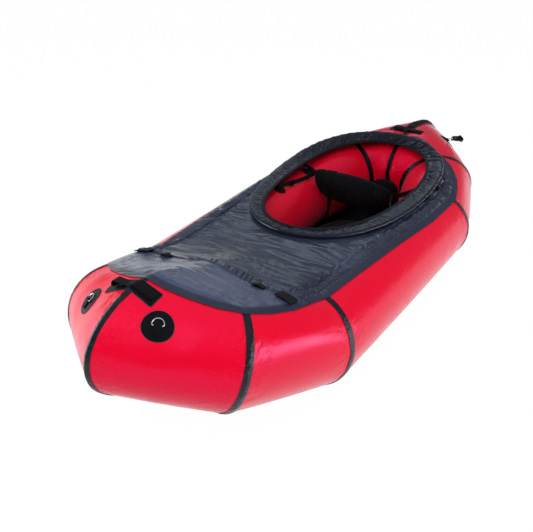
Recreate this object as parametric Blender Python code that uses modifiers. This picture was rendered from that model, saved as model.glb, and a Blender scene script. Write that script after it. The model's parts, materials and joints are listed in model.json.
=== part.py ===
"""One-person packraft: an inflated tube hull with a spray deck, coaming, backrest and seat.

Metres, +Z up, bow at -Y, port at +X. The origin is on the ground under the middle of the hull.
The hull is a loop of ten straight air tubes joined at mitres. Everything else is placed from it.
"""

import math

import bpy
import bmesh
from mathutils import Matrix, Vector
from mathutils.bvhtree import BVHTree

# Hull
HULL_LENGTH = 2.376
TUBE_RADIUS = 0.145
TUBE_WALL = 0.0015
PANEL_GAP = 0.0007
BOW_OVERHANG = 0.2065
STERN_OVERHANG = 0.2921
BOW_SHOULDER_BACK = 0.3008
FORE_CORNER_BACK = 0.5932
AFT_CORNER_AHEAD = 0.8494
STERN_SHOULDER_AHEAD = 0.5238
BOW_SHOULDER_HALF_WIDTH = 0.1759
FORE_CORNER_HALF_WIDTH = 0.2623
AFT_CORNER_HALF_WIDTH = 0.2983
STERN_SHOULDER_HALF_WIDTH = 0.2066
BOW_LIFT = 0.1519
BOW_SHOULDER_LIFT = 0.0897
STERN_SHOULDER_LIFT = 0.0374
STERN_LIFT = 0.0878
STERN_SWELL = 0.0115

# Seam tape round each mitre, and the clearance that touching pieces keep
CLEARANCE = 0.0005
TAPE_WIDTH = 0.023
TAPE_THICKNESS = 0.0008

# Floor and deck cloth, which lie over the tapes
CLOTH_CLEARANCE = 0.0009
FLOOR_THICKNESS = 0.0012
FLOOR_HEM_DEG = -62.0
FLOOR_HEM_ROWS = 4
FLOOR_STEP = 0.060
FLOOR_SIDE_STEP = 0.240
DECK_THICKNESS = 0.0010
DECK_STEP = 0.056
DECK_SIDE_STEP = 0.095
DECK_HEM_ROWS = 3
DECK_FAR_ROWS = 3
HOOP_SURROUND = 0.030
HOOP_DECK_GAP = 0.003
FORE_DECK_CROWN = 0.005

# Angles round the tube, 0 outboard and 90 on top, at the corners and at each quarter between
# them from bow to stern: where the deck's hem is glued, and where the deck leaves the tube
HEM_DEG = (93.0, 85.0, 79.0, 75.0, 76.0, 69.5, 67.5, 71.0, 75.0, 69.8, 64.0, 57.0, 57.0, 56.0,
           60.0, 72.0, 90.0, 94.5, 101.0, 111.0, 122.0)
LEAVE_DEG = (114.5, 111.0, 106.0, 100.0, 97.0, 92.5, 91.0, 92.0, 93.5, 92.5, 88.0, 80.0, 77.0,
             76.0, 79.0, 90.0, 105.0, 108.0, 114.0, 123.0, 134.0)

# Cockpit coaming: the rim is the inner edge, the hoop runs outside it
RIM_CENTRE_AHEAD_OF_STERN = 1.0174
RIM_HALF_LENGTH = 0.4549
RIM_HALF_WIDTH = 0.2447
RIM_STAND = 0.0300
RIM_BOW_RISE = -0.005
RIM_STERN_RISE = 0.035
RIM_TAPER_SHARE = -0.085
RIM_FULLNESS_SHARE = 0.190
HOOP_BOW_REACH = 0.0287
HOOP_STERN_REACH = 0.0260
HOOP_SIDE_REACH = 0.0607
HOOP_STAND = 0.0320
HOOP_BOW_RISE = -0.019
HOOP_STERN_RISE = 0.064
HOOP_TAPER_SHARE = -0.087
HOOP_FULLNESS_SHARE = 0.177
HOOP_RADIUS = 0.006
SLEEVE_CLEARANCE = 0.0010
BAND_THICKNESS = 0.0010
SLEEVE_END_DEG = -150.0
BINDING_LEG = 0.009
BINDING_THICKNESS = 0.0009
BINDING_CLEARANCE = 0.0006
DECK_EDGE_INSET = 0.0025
BAND_EDGE_INSET = 0.0010

# Round patches with a webbing tab and a D-ring
PATCH_RADIUS = 0.039
PATCH_THICKNESS = 0.0010
PATCH_CLEARANCE = 0.0006
TAB_WIDTH = 0.020
TAB_LENGTH = 0.022
TAB_THICKNESS = 0.0018
TAB_BORE_CLEARANCE = 0.0006
TAB_SINK = 0.0004
RING_WIRE_RADIUS = 0.0016
RING_HALF_WIDTH = 0.0145
RING_LEG = 0.004
RING_REST_DEG = -6.0
STERN_PORT_RING_REST_DEG = 38.0
BOW_PATCH_PORT_SHARE = 0.365
BOW_PATCH_STARBOARD_SHARE = 0.48
BOW_PATCH_PORT_DEG = 50.0
BOW_PATCH_STARBOARD_DEG = 45.0
STERN_PATCH_SHARE = 0.49
STERN_PATCH_DEG = 48.0

# Carrying handles on square patches
HANDLE_PATCH_LENGTH = 0.156
HANDLE_PATCH_WIDTH = 0.049
HANDLE_FOOT_OUT = 0.066
HANDLE_FOOT_IN = 0.050
HANDLE_RISE = 0.017
HANDLE_WEBBING_WIDTH = 0.025
HANDLE_WEBBING_THICKNESS = 0.0020
HANDLE_FOOT_CLEARANCE = 0.0006
HANDLE_STEP = 0.0006
HANDLE_PATCH_CLEARANCE = 0.0008
BOW_HANDLE_BEHIND_TIP = 0.185
BOW_HANDLE_X = -0.012
STERN_HANDLE_AHEAD_OF_TIP = 0.393
STERN_HANDLE_X = -0.006

# Strip over the stern seam, from the handle's patch down the outside, with webbing along it
STERN_STRIP_WIDTH = 0.094
STERN_STRIP_WEBBING_WIDTH = 0.046
STERN_STRIP_DEG = (102.0, 90.0, 72.0, 54.0, 36.0)
STERN_STRIP_CLEARANCE = 0.0006

# Webbing loops sewn on the fore deck
FORE_LOOPS_BEHIND_TIP = 0.474
WIDE_LOOP_X = 0.248
WIDE_LOOP_LENGTH = 0.050
WIDE_LOOP_WIDTH = 0.040
NARROW_LOOP_X = 0.162
NARROW_LOOP_LENGTH = 0.036
NARROW_LOOP_WIDTH = 0.022
WIDE_LOOP_TURN_DEG = -3.0
NARROW_LOOP_TURN_DEG = 12.0
LOOP_RISE = 0.0085
LOOP_THICKNESS = 0.0014
LOOP_CLEARANCE = 0.0010

# Backrest and the straps that hold it
BACKREST_WIDTH = 0.400
BACKREST_FOOT_SHARE = 0.66
BACKREST_X = -0.024
BACKREST_HEIGHT = 0.128
BACKREST_THICKNESS = 0.090
BACKREST_AHEAD_OF_STERN = 0.933
BACKREST_BELOW_TUBE_TOP = 0.0385
BACKREST_ROLL_DEG = 4.0
BACKREST_LEAN_DEG = 10.0
BACKREST_STRAP_RISE = 0.024
STRAP_WIDTH = 0.020
STRAP_THICKNESS = 0.0016
STRAP_SAG = 0.006
STRAP_END_GAP = 0.0024
STRAP_EYE_GAP = 0.0010
STRAP_CLEARANCE = 0.0007
STRAP_OVERLAP = 0.012
FRONT_ANCHOR_AHEAD = 0.290
REAR_ANCHOR_AHEAD = 0.042
ANCHOR_DEG = 111.0
ANCHOR_RADIUS = 0.026
ANCHOR_LOOP_STAND = 0.010
BUCKLE_LENGTH = 0.030
BUCKLE_WIDTH = 0.026
BUCKLE_THICKNESS = 0.0030
BUCKLE_BAR = 0.0030
BUCKLE_ALONG_SHARE = 0.30

# Seat and the bundle stowed behind the backrest
SEAT_WIDTH = 0.246
SEAT_LENGTH = 0.400
SEAT_AHEAD_OF_STERN = 1.023
SEAT_FRONT_HEIGHT = 0.178
SEAT_REAR_HEIGHT = 0.092
SEAT_SINK = 0.0005
BUNDLE_WIDTH = 0.150
BUNDLE_DEPTH = 0.095
BUNDLE_HEIGHT = 0.208
BUNDLE_X = 0.014
BUNDLE_AHEAD_OF_STERN = 0.663

# Valves
VALVE_SHARE = 0.50
VALVE_DEG = 30.0
VALVE_FLANGE_RADIUS = 0.030
VALVE_FLANGE_THICKNESS = 0.003
VALVE_NECK_RADIUS = 0.016
VALVE_NECK_HEIGHT = 0.010
VALVE_BORE_RADIUS = 0.011
VALVE_SINK = 0.006
CAP_RADIUS = 0.021
CAP_TOP = 0.004
CAP_GRIP_COUNT = 8
CAP_GRIP_DEPTH = 0.0015
SEAT_VALVE_RADIUS = 0.009
SEAT_VALVE_LENGTH = 0.020
SEAT_VALVE_X = 0.070
SEAT_VALVE_POCKET = 0.010

# How finely the round pieces are drawn
TUBE_SIDES = 20
TUBE_STATION_SHARES = (0.25, 0.5, 0.75)
DISC_SIDES = 20
TURN_STEPS = 16
OVERRUN = 0.004

CLOTH_STANDOFF = CLEARANCE + TAPE_THICKNESS + CLOTH_CLEARANCE
BASE_HEIGHT = TUBE_RADIUS + CLOTH_STANDOFF + FLOOR_THICKNESS
TUBE_TOP = BASE_HEIGHT + TUBE_RADIUS
RIM_CENTRE_Y = HULL_LENGTH / 2 - RIM_CENTRE_AHEAD_OF_STERN
PORT, STARBOARD = 1, -1


def clear_scene():
    for item in list(bpy.data.objects):
        bpy.data.objects.remove(item)


def collection(name):
    group = bpy.data.collections.get(name) or bpy.data.collections.new(name)
    if group.name not in bpy.context.scene.collection.children:
        bpy.context.scene.collection.children.link(group)
    return group


def material(name, colour, roughness, metallic=0.0):
    finish = bpy.data.materials.new(name)
    finish.use_nodes = True
    shader = finish.node_tree.nodes["Principled BSDF"]
    shader.inputs["Base Color"].default_value = (*colour, 1.0)
    shader.inputs["Roughness"].default_value = roughness
    shader.inputs["Metallic"].default_value = metallic
    finish.diffuse_color = (*colour, 1.0)
    return finish


clear_scene()
PARTS = collection("packraft")
CUTTERS = collection("cutters")
RED_FABRIC = material("red_coated_fabric", (0.78, 0.01, 0.03), 0.25)
DECK_FABRIC = material("deck_fabric", (0.055, 0.062, 0.090), 0.45)
BLACK_TAPE = material("black_tape", (0.015, 0.016, 0.020), 0.35)
BLACK_WEBBING = material("black_webbing", (0.012, 0.012, 0.014), 0.80)
BLACK_FABRIC = material("black_fabric", (0.016, 0.016, 0.017), 0.85)
STEEL = material("polished_steel", (0.75, 0.76, 0.78), 0.20, 1.0)
BLACK_PLASTIC = material("black_plastic", (0.018, 0.018, 0.020), 0.45)


def finish_object(body, name, finish, smooth_deg=35.0):
    """Name a mesh object, give it its material and shade its round faces smooth."""
    body.name = name
    body.data.name = name
    body.data.materials.clear()
    body.data.materials.append(finish)
    body.data.shade_smooth()
    body.data.set_sharp_from_angle(angle=math.radians(smooth_deg))
    return body


def object_from_bmesh(name, shape, finish, group=None):
    mesh = bpy.data.meshes.new(name)
    shape.to_mesh(mesh)
    shape.free()
    body = bpy.data.objects.new(name, mesh)
    (group or PARTS).objects.link(body)
    return finish_object(body, name, finish)


def sheet(name, upper, lower, finish, wrap_u=False, wrap_v=False, seam=False, group=None):
    """A closed solid between two like grids of points, lofted across unlike sections.

    With seam, the last column meets itself along a line and has no edge of its own.
    """
    rows, columns = len(upper), len(upper[0])
    shape = bmesh.new()
    top = [[shape.verts.new(point) for point in row] for row in upper]
    bottom = [[shape.verts.new(point) for point in row] for row in lower]
    for i in range(rows if wrap_u else rows - 1):
        for j in range(columns if wrap_v else columns - 1):
            k, m = (i + 1) % rows, (j + 1) % columns
            shape.faces.new((top[i][j], top[k][j], top[k][m], top[i][m]))
            shape.faces.new((bottom[i][j], bottom[i][m], bottom[k][m], bottom[k][j]))
    if not wrap_u:
        for i in (0, rows - 1):
            for j in range(columns if wrap_v else columns - 1):
                m = (j + 1) % columns
                shape.faces.new((top[i][j], top[i][m], bottom[i][m], bottom[i][j]))
    if not wrap_v:
        for j in (0,) if seam else (0, columns - 1):
            for i in range(rows if wrap_u else rows - 1):
                k = (i + 1) % rows
                shape.faces.new((top[i][j], top[k][j], bottom[k][j], bottom[i][j]))
    bmesh.ops.remove_doubles(shape, verts=shape.verts, dist=CLEARANCE / 10)
    bmesh.ops.dissolve_degenerate(shape, edges=shape.edges, dist=CLEARANCE / 10)
    bmesh.ops.recalc_face_normals(shape, faces=shape.faces)
    return object_from_bmesh(name, shape, finish, group)


# The hull's frame: ten corners, and the ring of the tube at each

def hull_corners():
    half = HULL_LENGTH / 2
    port = [
        (0.0, BOW_OVERHANG - half, BOW_LIFT),
        (BOW_SHOULDER_HALF_WIDTH, BOW_SHOULDER_BACK - half, BOW_SHOULDER_LIFT),
        (FORE_CORNER_HALF_WIDTH, FORE_CORNER_BACK - half, 0.0),
        (AFT_CORNER_HALF_WIDTH, half - AFT_CORNER_AHEAD, 0.0),
        (STERN_SHOULDER_HALF_WIDTH, half - STERN_SHOULDER_AHEAD, STERN_SHOULDER_LIFT),
        (0.0, half - STERN_OVERHANG, STERN_LIFT),
    ]
    starboard = [(-x, y, lift) for x, y, lift in reversed(port[1:-1])]
    return [Vector((x, y, BASE_HEIGHT + lift)) for x, y, lift in port + starboard]


CORNERS = hull_corners()
CORNER_NAMES = (
    "bow", "bow_shoulder_port", "fore_corner_port", "aft_corner_port", "stern_shoulder_port",
    "stern", "stern_shoulder_starboard", "aft_corner_starboard", "fore_corner_starboard",
    "bow_shoulder_starboard",
)
PANEL_NAMES = (
    "bow_tube_port", "fore_quarter_tube_port", "side_tube_port", "aft_quarter_tube_port",
    "stern_tube_port", "stern_tube_starboard", "aft_quarter_tube_starboard",
    "side_tube_starboard", "fore_quarter_tube_starboard", "bow_tube_starboard",
)
COUNT = len(CORNERS)
(BOW, FORE_PORT, SIDE_PORT, AFT_PORT, STERN_PORT,
 STERN_STARBOARD, AFT_STARBOARD, SIDE_STARBOARD) = tuple(range(COUNT))[:-2]


def ring(index):
    """Centre, outboard direction, upward direction and outboard stretch at a corner."""
    here = CORNERS[index % COUNT]
    before = (here - CORNERS[(index - 1) % COUNT]).normalized()
    after = (CORNERS[(index + 1) % COUNT] - here).normalized()
    along = (before + after).normalized()
    side = along.cross(Vector((0, 0, 1))).normalized()
    up = side.cross(along)
    stretch = 1 / along.dot(before)
    if CORNER_NAMES[index % COUNT] == "bow":
        stretch = BOW_OVERHANG / TUBE_RADIUS
    if CORNER_NAMES[index % COUNT] == "stern":
        stretch = STERN_OVERHANG / TUBE_RADIUS
    return here, side, up, stretch


RINGS = [ring(index) for index in range(COUNT)]


def on_ring(index, angle, offset):
    centre, side, up, stretch = RINGS[index % COUNT]
    reach = TUBE_RADIUS + offset
    return centre + side * (stretch * reach * math.cos(angle)) + up * (reach * math.sin(angle))


def stern_swell(panel, share):
    """How far the skin of a stern tube bellies out between its seams."""
    if panel not in (STERN_PORT, STERN_STARBOARD):
        return 0.0
    return STERN_SWELL * (1 - (2 * share - 1) ** 2)


def on_tube(panel, share, angle, offset=0.0):
    """A point on the tube's skin, or off it by offset, share of the way along a panel."""
    offset += stern_swell(panel, share)
    return on_ring(panel, angle, offset).lerp(on_ring(panel + 1, angle, offset), share)


def panel_length(panel):
    return (CORNERS[(panel + 1) % COUNT] - CORNERS[panel % COUNT]).length


def round_angles(sides):
    return [2 * math.pi * step / sides for step in range(sides)]


def from_end(panel, at_start, distance, angle, offset):
    """A point on the tube's skin a distance from one of its panel's ends."""
    start, end = on_ring(panel, angle, offset), on_ring(panel + 1, angle, offset)
    if not at_start:
        start, end = end, start
    return start + (end - start).normalized() * distance


def tube_grid(panel, offset):
    angles = round_angles(TUBE_SIDES)
    ends = [PANEL_GAP / 2, TAPE_WIDTH / 2 + CLEARANCE]
    grid = [[from_end(panel, True, end, angle, offset) for angle in angles] for end in ends]
    for share in TUBE_STATION_SHARES:
        grid.append([on_tube(panel, share, angle, offset) for angle in angles])
    for end in reversed(ends):
        grid.append([from_end(panel, False, end, angle, offset) for angle in angles])
    return grid


def make_tubes():
    for panel, name in enumerate(PANEL_NAMES):
        sheet(name, tube_grid(panel, 0.0), tube_grid(panel, -TUBE_WALL), RED_FABRIC, wrap_v=True)


def tape_grid(index, offset):
    angles = round_angles(TUBE_SIDES)
    edge = TAPE_WIDTH / 2
    return [
        [from_end(index - 1, False, edge, angle, offset) for angle in angles],
        [on_ring(index, angle, offset) for angle in angles],
        [from_end(index, True, edge, angle, offset) for angle in angles],
    ]


def make_seam_tapes():
    for index, name in enumerate(CORNER_NAMES):
        sheet("seam_tape_" + name, tape_grid(index, CLEARANCE + TAPE_THICKNESS),
              tape_grid(index, CLEARANCE), BLACK_TAPE, wrap_v=True)


def stations_round_hull(spacing, side_spacing):
    """Places round the hull, from the bow by port, further apart on the long side panels."""
    stations = []
    for panel in range(COUNT):
        apart = side_spacing if panel in (SIDE_PORT, SIDE_STARBOARD) else spacing
        steps = max(3, round(panel_length(panel) / apart))
        stations += [(panel, step / steps) for step in range(steps)]
    return stations


def deck_stations():
    return stations_round_hull(DECK_STEP, DECK_SIDE_STEP)


# Floor

def floor_grid(offset):
    """Rows round the hull, each from the hem under the tube's outer side to the centre line."""
    grid = []
    hem, bottom = math.radians(FLOOR_HEM_DEG), -math.pi / 2
    for panel, share in stations_round_hull(FLOOR_STEP, FLOOR_SIDE_STEP):
        row = [on_tube(panel, share, hem + (bottom - hem) * step / FLOOR_HEM_ROWS, offset)
               for step in range(FLOOR_HEM_ROWS + 1)]
        row.append(Vector((0.0, row[-1].y, row[-1].z)))
        grid.append(row)
    return grid


def make_floor():
    inner = floor_grid(CLOTH_STANDOFF)
    outer = floor_grid(CLOTH_STANDOFF + FLOOR_THICKNESS)
    return sheet("floor", inner, outer, BLACK_FABRIC, wrap_u=True, seam=True)


# Cockpit rim and hoop: closed curves, with turn 0 at the bow end and pi at the stern end

def closed_curve(turn, centre_y, half_length, half_width, taper, fullness, heights):
    middle, bow_rise, stern_rise = heights
    c = math.cos(turn)
    rise = c * (bow_rise - stern_rise) / 2 + c * c * (bow_rise + stern_rise) / 2
    return Vector((
        half_width * math.sin(turn) * (1 + taper * c + fullness * c * c),
        centre_y - half_length * c,
        middle + rise,
    ))


def rim_point(turn):
    return closed_curve(turn, RIM_CENTRE_Y, RIM_HALF_LENGTH, RIM_HALF_WIDTH, RIM_TAPER_SHARE,
                        RIM_FULLNESS_SHARE, (TUBE_TOP + RIM_STAND, RIM_BOW_RISE, RIM_STERN_RISE))


def hoop_point(turn):
    reach = (HOOP_STERN_REACH - HOOP_BOW_REACH) / 2
    half_length = RIM_HALF_LENGTH + (HOOP_STERN_REACH + HOOP_BOW_REACH) / 2
    return closed_curve(turn, RIM_CENTRE_Y + reach, half_length, RIM_HALF_WIDTH + HOOP_SIDE_REACH,
                        HOOP_TAPER_SHARE, HOOP_FULLNESS_SHARE,
                        (TUBE_TOP + HOOP_STAND, HOOP_BOW_RISE, HOOP_STERN_RISE))


def rim_local(turn, outward, upward):
    """A point measured from the rim: outward towards the hoop, and square to that, upward."""
    start = rim_point(turn)
    out = (hoop_point(turn) - start).normalized()
    tangent = rim_point(turn + 0.01) - rim_point(turn - 0.01)
    up = out.cross(tangent).normalized()
    if up.z < 0:
        up = -up
    return start + out * outward + up * upward


def band_path(turn, offset):
    """The band runs flat out of the binding, climbs to the hoop's top and wraps round it."""
    reach = (hoop_point(turn) - rim_point(turn)).length
    radius = HOOP_RADIUS + SLEEVE_CLEARANCE + BAND_THICKNESS / 2
    flat = BINDING_LEG + BINDING_THICKNESS
    path = [rim_local(turn, BAND_EDGE_INSET, offset), rim_local(turn, flat, offset)]
    steps = 7
    for step in range(steps + 1):
        angle = math.radians(90 + (SLEEVE_END_DEG - 90) * step / steps)
        path.append(rim_local(turn, reach + (radius + offset) * math.cos(angle),
                              (radius + offset) * math.sin(angle)))
    return path


def make_coaming_band():
    half = BAND_THICKNESS / 2
    outer = [band_path(turn, half) for turn in rim_turns()]
    inner = [band_path(turn, -half) for turn in rim_turns()]
    return sheet("coaming_band", outer, inner, DECK_FABRIC, wrap_u=True)


def tube_along(name, points, radius, finish, cyclic=False, resolution=2):
    """A round bar along points, as a mesh."""
    curve = bpy.data.curves.new(name, "CURVE")
    curve.dimensions = "3D"
    curve.resolution_u = 1
    curve.render_resolution_u = 0
    curve.bevel_depth = radius
    curve.bevel_resolution = resolution
    curve.use_fill_caps = not cyclic
    spline = curve.splines.new("POLY")
    spline.points.add(len(points) - 1)
    for item, point in zip(spline.points, points):
        item.co = (*point, 1.0)
    spline.use_cyclic_u = cyclic
    guide = bpy.data.objects.new(name + "_curve", curve)
    PARTS.objects.link(guide)
    bpy.context.view_layer.update()
    graph = bpy.context.evaluated_depsgraph_get()
    mesh = bpy.data.meshes.new_from_object(guide.evaluated_get(graph))
    bpy.data.objects.remove(guide)
    shape = bmesh.new()
    shape.from_mesh(mesh)
    bpy.data.meshes.remove(mesh)
    bmesh.ops.remove_doubles(shape, verts=shape.verts, dist=CLEARANCE / 10)
    bmesh.ops.recalc_face_normals(shape, faces=shape.faces)
    return object_from_bmesh(name, shape, finish)


def make_coaming_hoop():
    return tube_along("coaming_hoop", [hoop_point(turn) for turn in rim_turns()], HOOP_RADIUS,
                      BLACK_PLASTIC, cyclic=True)


def deck_edge_drop():
    """How far the deck's edge lies under the band's inside the binding, top to top."""
    return BAND_THICKNESS / 2 + CLEARANCE


def binding_path(turn, offset):
    """A U round the edges of the band and the deck, open outboard."""
    stack = BAND_THICKNESS + CLEARANCE + DECK_THICKNESS
    middle = BAND_THICKNESS / 2 - stack / 2
    half = stack / 2 + BINDING_CLEARANCE + offset
    path = [rim_local(turn, BINDING_LEG, middle + half)]
    steps = 3
    for step in range(steps + 1):
        angle = math.pi / 2 + math.pi * step / steps
        path.append(rim_local(turn, half * math.cos(angle), middle + half * math.sin(angle)))
    path.append(rim_local(turn, BINDING_LEG, middle - half))
    return path


def make_coaming_binding():
    outer = [binding_path(turn, BINDING_THICKNESS) for turn in rim_turns()]
    inner = [binding_path(turn, 0.0) for turn in rim_turns()]
    return sheet("coaming_binding", outer, inner, BLACK_FABRIC, wrap_u=True)


# Deck

def deck_angle(table, panel, share):
    """The angle at a place on the hull from the bow-to-stern table, alike on both sides."""
    along = panel + share
    along = min(along, COUNT - along) * (len(table) - 1) / (COUNT / 2)
    low = min(int(along), len(table) - 2)
    return math.radians(table[low] + (table[low + 1] - table[low]) * (along - low))


def leave_point(panel, share):
    return on_tube(panel, share, deck_angle(LEAVE_DEG, panel, share), CLOTH_STANDOFF)


def rim_turns():
    """The rim's turn at each deck station, straight across the span from where it starts."""
    turns = []
    for panel, share in deck_stations():
        start = leave_point(panel, share)
        turns.append(math.atan2(start.x / RIM_HALF_WIDTH,
                                (RIM_CENTRE_Y - start.y) / RIM_HALF_LENGTH))
    return turns


def deck_drop():
    return deck_edge_drop() + DECK_THICKNESS


def deck_underside():
    """Rows from the glued hem over the tube, across the span and into the rim's binding."""
    grid = []
    for (panel, share), turn in zip(deck_stations(), rim_turns()):
        hem = deck_angle(HEM_DEG, panel, share)
        leave = deck_angle(LEAVE_DEG, panel, share)
        row = [on_tube(panel, share, hem + (leave - hem) * step / DECK_HEM_ROWS, CLOTH_STANDOFF)
               for step in range(DECK_HEM_ROWS + 1)]
        start = row[-1]
        clear = BINDING_LEG + 2 * BINDING_THICKNESS
        outer_edge = rim_local(turn, clear, -deck_drop())
        inner_edge = rim_local(turn, DECK_EDGE_INSET, -deck_drop())
        span = (start - outer_edge).length
        reach = (hoop_point(turn) - rim_point(turn)).length
        near = [reach + HOOP_SURROUND - clear, reach - clear, (reach - clear) / 2]
        squeeze = min(1.0, 0.75 * span / near[0])
        near = [distance * squeeze for distance in near]
        far = [near[0] + (span - near[0]) * (1 - step / DECK_FAR_ROWS)
               for step in range(1, DECK_FAR_ROWS)]
        row += [outer_edge.lerp(start, distance / span) for distance in far + near]
        row += [outer_edge, inner_edge]
        grid.append(row)
    return settle_span(grid)


def band_turn(turn, point):
    """The turn, near another, whose line from rim to hoop passes over a place on the deck."""
    def aside(near):
        start, hoop = rim_point(near), hoop_point(near)
        return abs((point.x - start.x) * (hoop.y - start.y)
                   - (point.y - start.y) * (hoop.x - start.x))

    steps = 40
    return min((turn + step / steps for step in range(-steps // 2, steps // 2 + 1)), key=aside)


def under_band(turn, point):
    """The greatest height that leaves the deck clear of the band and the hoop over it."""
    turn = band_turn(turn, point)
    start = rim_point(turn)
    hoop = hoop_point(turn)
    reach = math.hypot(hoop.x - start.x, hoop.y - start.y)
    outward = math.hypot(point.x - start.x, point.y - start.y)
    if outward > reach + HOOP_SURROUND + CLEARANCE:
        return HULL_LENGTH
    sleeve = HOOP_RADIUS + SLEEVE_CLEARANCE + BAND_THICKNESS
    low = sleeve + DECK_THICKNESS + HOOP_DECK_GAP
    near = BINDING_LEG + 2 * BINDING_THICKNESS
    share = min(max((outward - near) / (reach - sleeve - near), 0.0), 1.0)
    band = start.z + (hoop.z - start.z) * min(outward / reach, 1.0)
    return band - deck_drop() - (low - deck_drop()) * share


def under_side_tubes(point):
    """The height of a line straight across between the side tubes' tops, on the fore deck."""
    for panel in (BOW, BOW + 1):
        start, end = CORNERS[panel], CORNERS[panel + 1]
        if start.y <= point.y <= end.y:
            middle = start.lerp(end, (point.y - start.y) / (end.y - start.y))
            return middle.z + TUBE_RADIUS + CLOTH_STANDOFF + FORE_DECK_CROWN
    return HULL_LENGTH


def tangent_planes():
    """For each deck station, the planes that touch the tubes where the deck leaves them."""
    planes = []
    for panel, share in deck_stations():
        leave = deck_angle(LEAVE_DEG, panel, share)
        places = [(panel, share)] if share else [(panel, 0.0), ((panel - 1) % COUNT, 1.0)]
        touching = {}
        for near_panel, near_share in places:
            here, along, across, out = skin_frame(near_panel, near_share, leave, CLOTH_STANDOFF)
            touching[near_panel] = (here, out)
        planes.append(touching)
    return planes


def settle_span(grid):
    """Let the span's heights settle like stretched cloth held along the tube and the rim.

    It stays over each plane that touches a tube where the deck leaves it, and under the band.
    """
    first, last = DECK_HEM_ROWS, len(grid[0]) - 2
    count = len(grid)
    planes = tangent_planes()
    turns = rim_turns()

    def flat(a, b):
        return max(math.hypot(a.x - b.x, a.y - b.y), CLEARANCE)

    def least_height(i, point):
        heights = []
        for near in (i - 1, i, (i + 1) % count):
            for panel, (start, out) in planes[near].items():
                if panel in planes[i]:
                    away = out.x * (point.x - start.x) + out.y * (point.y - start.y)
                    heights.append(start.z - away / out.z)
        return max(heights)

    pulls = {}
    least = {}
    most = {}
    for i in range(count):
        for j in range(first + 1, last):
            here = grid[i][j]
            left, right = grid[i - 1][j], grid[(i + 1) % count][j]
            out, into = grid[i][j - 1], grid[i][j + 1]
            least[i, j] = least_height(i, here)
            most[i, j] = min(under_band(turns[i], here), under_side_tubes(here))
            wide = (flat(here, left) + flat(here, right)) / 2
            deep = (flat(here, out) + flat(here, into)) / 2
            pulls[i, j] = (deep / flat(here, left), deep / flat(here, right),
                           wide / flat(here, out), wide / flat(here, into))
    for _ in range(400):
        for (i, j), (to_left, to_right, to_out, to_in) in pulls.items():
            total = to_left + to_right + to_out + to_in
            height = (to_left * grid[i - 1][j].z + to_right * grid[(i + 1) % count][j].z
                      + to_out * grid[i][j - 1].z + to_in * grid[i][j + 1].z) / total
            grid[i][j].z = max(min(height, most[i, j]), least[i, j])
    return grid


def make_deck():
    lower = deck_underside()
    upper = []
    for (panel, share), row in zip(deck_stations(), lower):
        hem = deck_angle(HEM_DEG, panel, share)
        leave = deck_angle(LEAVE_DEG, panel, share)
        top = [on_tube(panel, share, hem + (leave - hem) * step / DECK_HEM_ROWS,
                       CLOTH_STANDOFF + DECK_THICKNESS) for step in range(DECK_HEM_ROWS + 1)]
        top += [point + Vector((0, 0, DECK_THICKNESS)) for point in row[DECK_HEM_ROWS + 1:]]
        upper.append(top)
    return sheet("spray_deck", upper, lower, DECK_FABRIC, wrap_u=True)


# Things set on a tube's skin

def skin_frame(panel, share, angle, offset):
    """Origin and axes on the skin: along the tube, round it towards its top, and outward."""
    here = on_tube(panel, share, angle, offset)
    along = on_tube(panel, share + 0.01, angle, offset) - on_tube(panel, share - 0.01, angle, offset)
    turn = on_tube(panel, share, angle + 0.01, offset) - on_tube(panel, share, angle - 0.01, offset)
    out = along.cross(turn).normalized()
    if out.dot(here - CORNERS[panel].lerp(CORNERS[(panel + 1) % COUNT], share)) < 0:
        out = -out
    along = along.normalized()
    across = out.cross(along).normalized()
    if across.dot(turn) < 0:
        across = -across
        along = -along
    return here, along, across, out


def on_skin(panel, share, angle, along_by, across_by, offset):
    """A place on the skin that lies along and across the tube from another."""
    step = 0.01
    here, along, across, out = skin_frame(panel, share, angle, offset)
    slide = on_tube(panel, share + step, angle) - on_tube(panel, share - step, angle)
    turn = on_tube(panel, share, angle + step) - on_tube(panel, share, angle - step)
    around = across_by / turn.dot(across)
    ahead = (along_by - around * turn.dot(along)) / slide.dot(along)
    return on_tube(panel, share + ahead * 2 * step, angle + around * 2 * step, offset)


def skin_disc(name, panel, share, angle, radius, finish, group=None):
    """A round patch that follows the tube's skin."""
    def spot(distance, turn, offset):
        return on_skin(panel, share, angle, distance * math.cos(turn), distance * math.sin(turn),
                       offset)

    turns = round_angles(DISC_SIDES)
    reaches = (0.0, radius / 2, radius)
    lower = [[spot(reach, turn, PATCH_CLEARANCE) for turn in turns] for reach in reaches]
    upper = [[spot(reach, turn, PATCH_CLEARANCE + PATCH_THICKNESS) for turn in turns]
             for reach in reaches]
    return sheet_disc(name, upper, lower, finish, group)


def sheet_disc(name, upper, lower, finish, group=None):
    """As sheet, for rings of points round one middle point."""
    shape = bmesh.new()
    count = len(upper[0])
    layers = []
    for grid in (upper, lower):
        middle = shape.verts.new(grid[0][0])
        rings = [[shape.verts.new(point) for point in row] for row in grid[1:]]
        layers.append(rings)
        for j in range(count):
            m = (j + 1) % count
            shape.faces.new((middle, rings[0][j], rings[0][m]))
            for a, b in zip(rings, rings[1:]):
                shape.faces.new((a[j], b[j], b[m], a[m]))
    for j in range(count):
        m = (j + 1) % count
        shape.faces.new((layers[0][-1][j], layers[1][-1][j], layers[1][-1][m], layers[0][-1][m]))
    bmesh.ops.recalc_face_normals(shape, faces=shape.faces)
    return object_from_bmesh(name, shape, finish, group)


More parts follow.
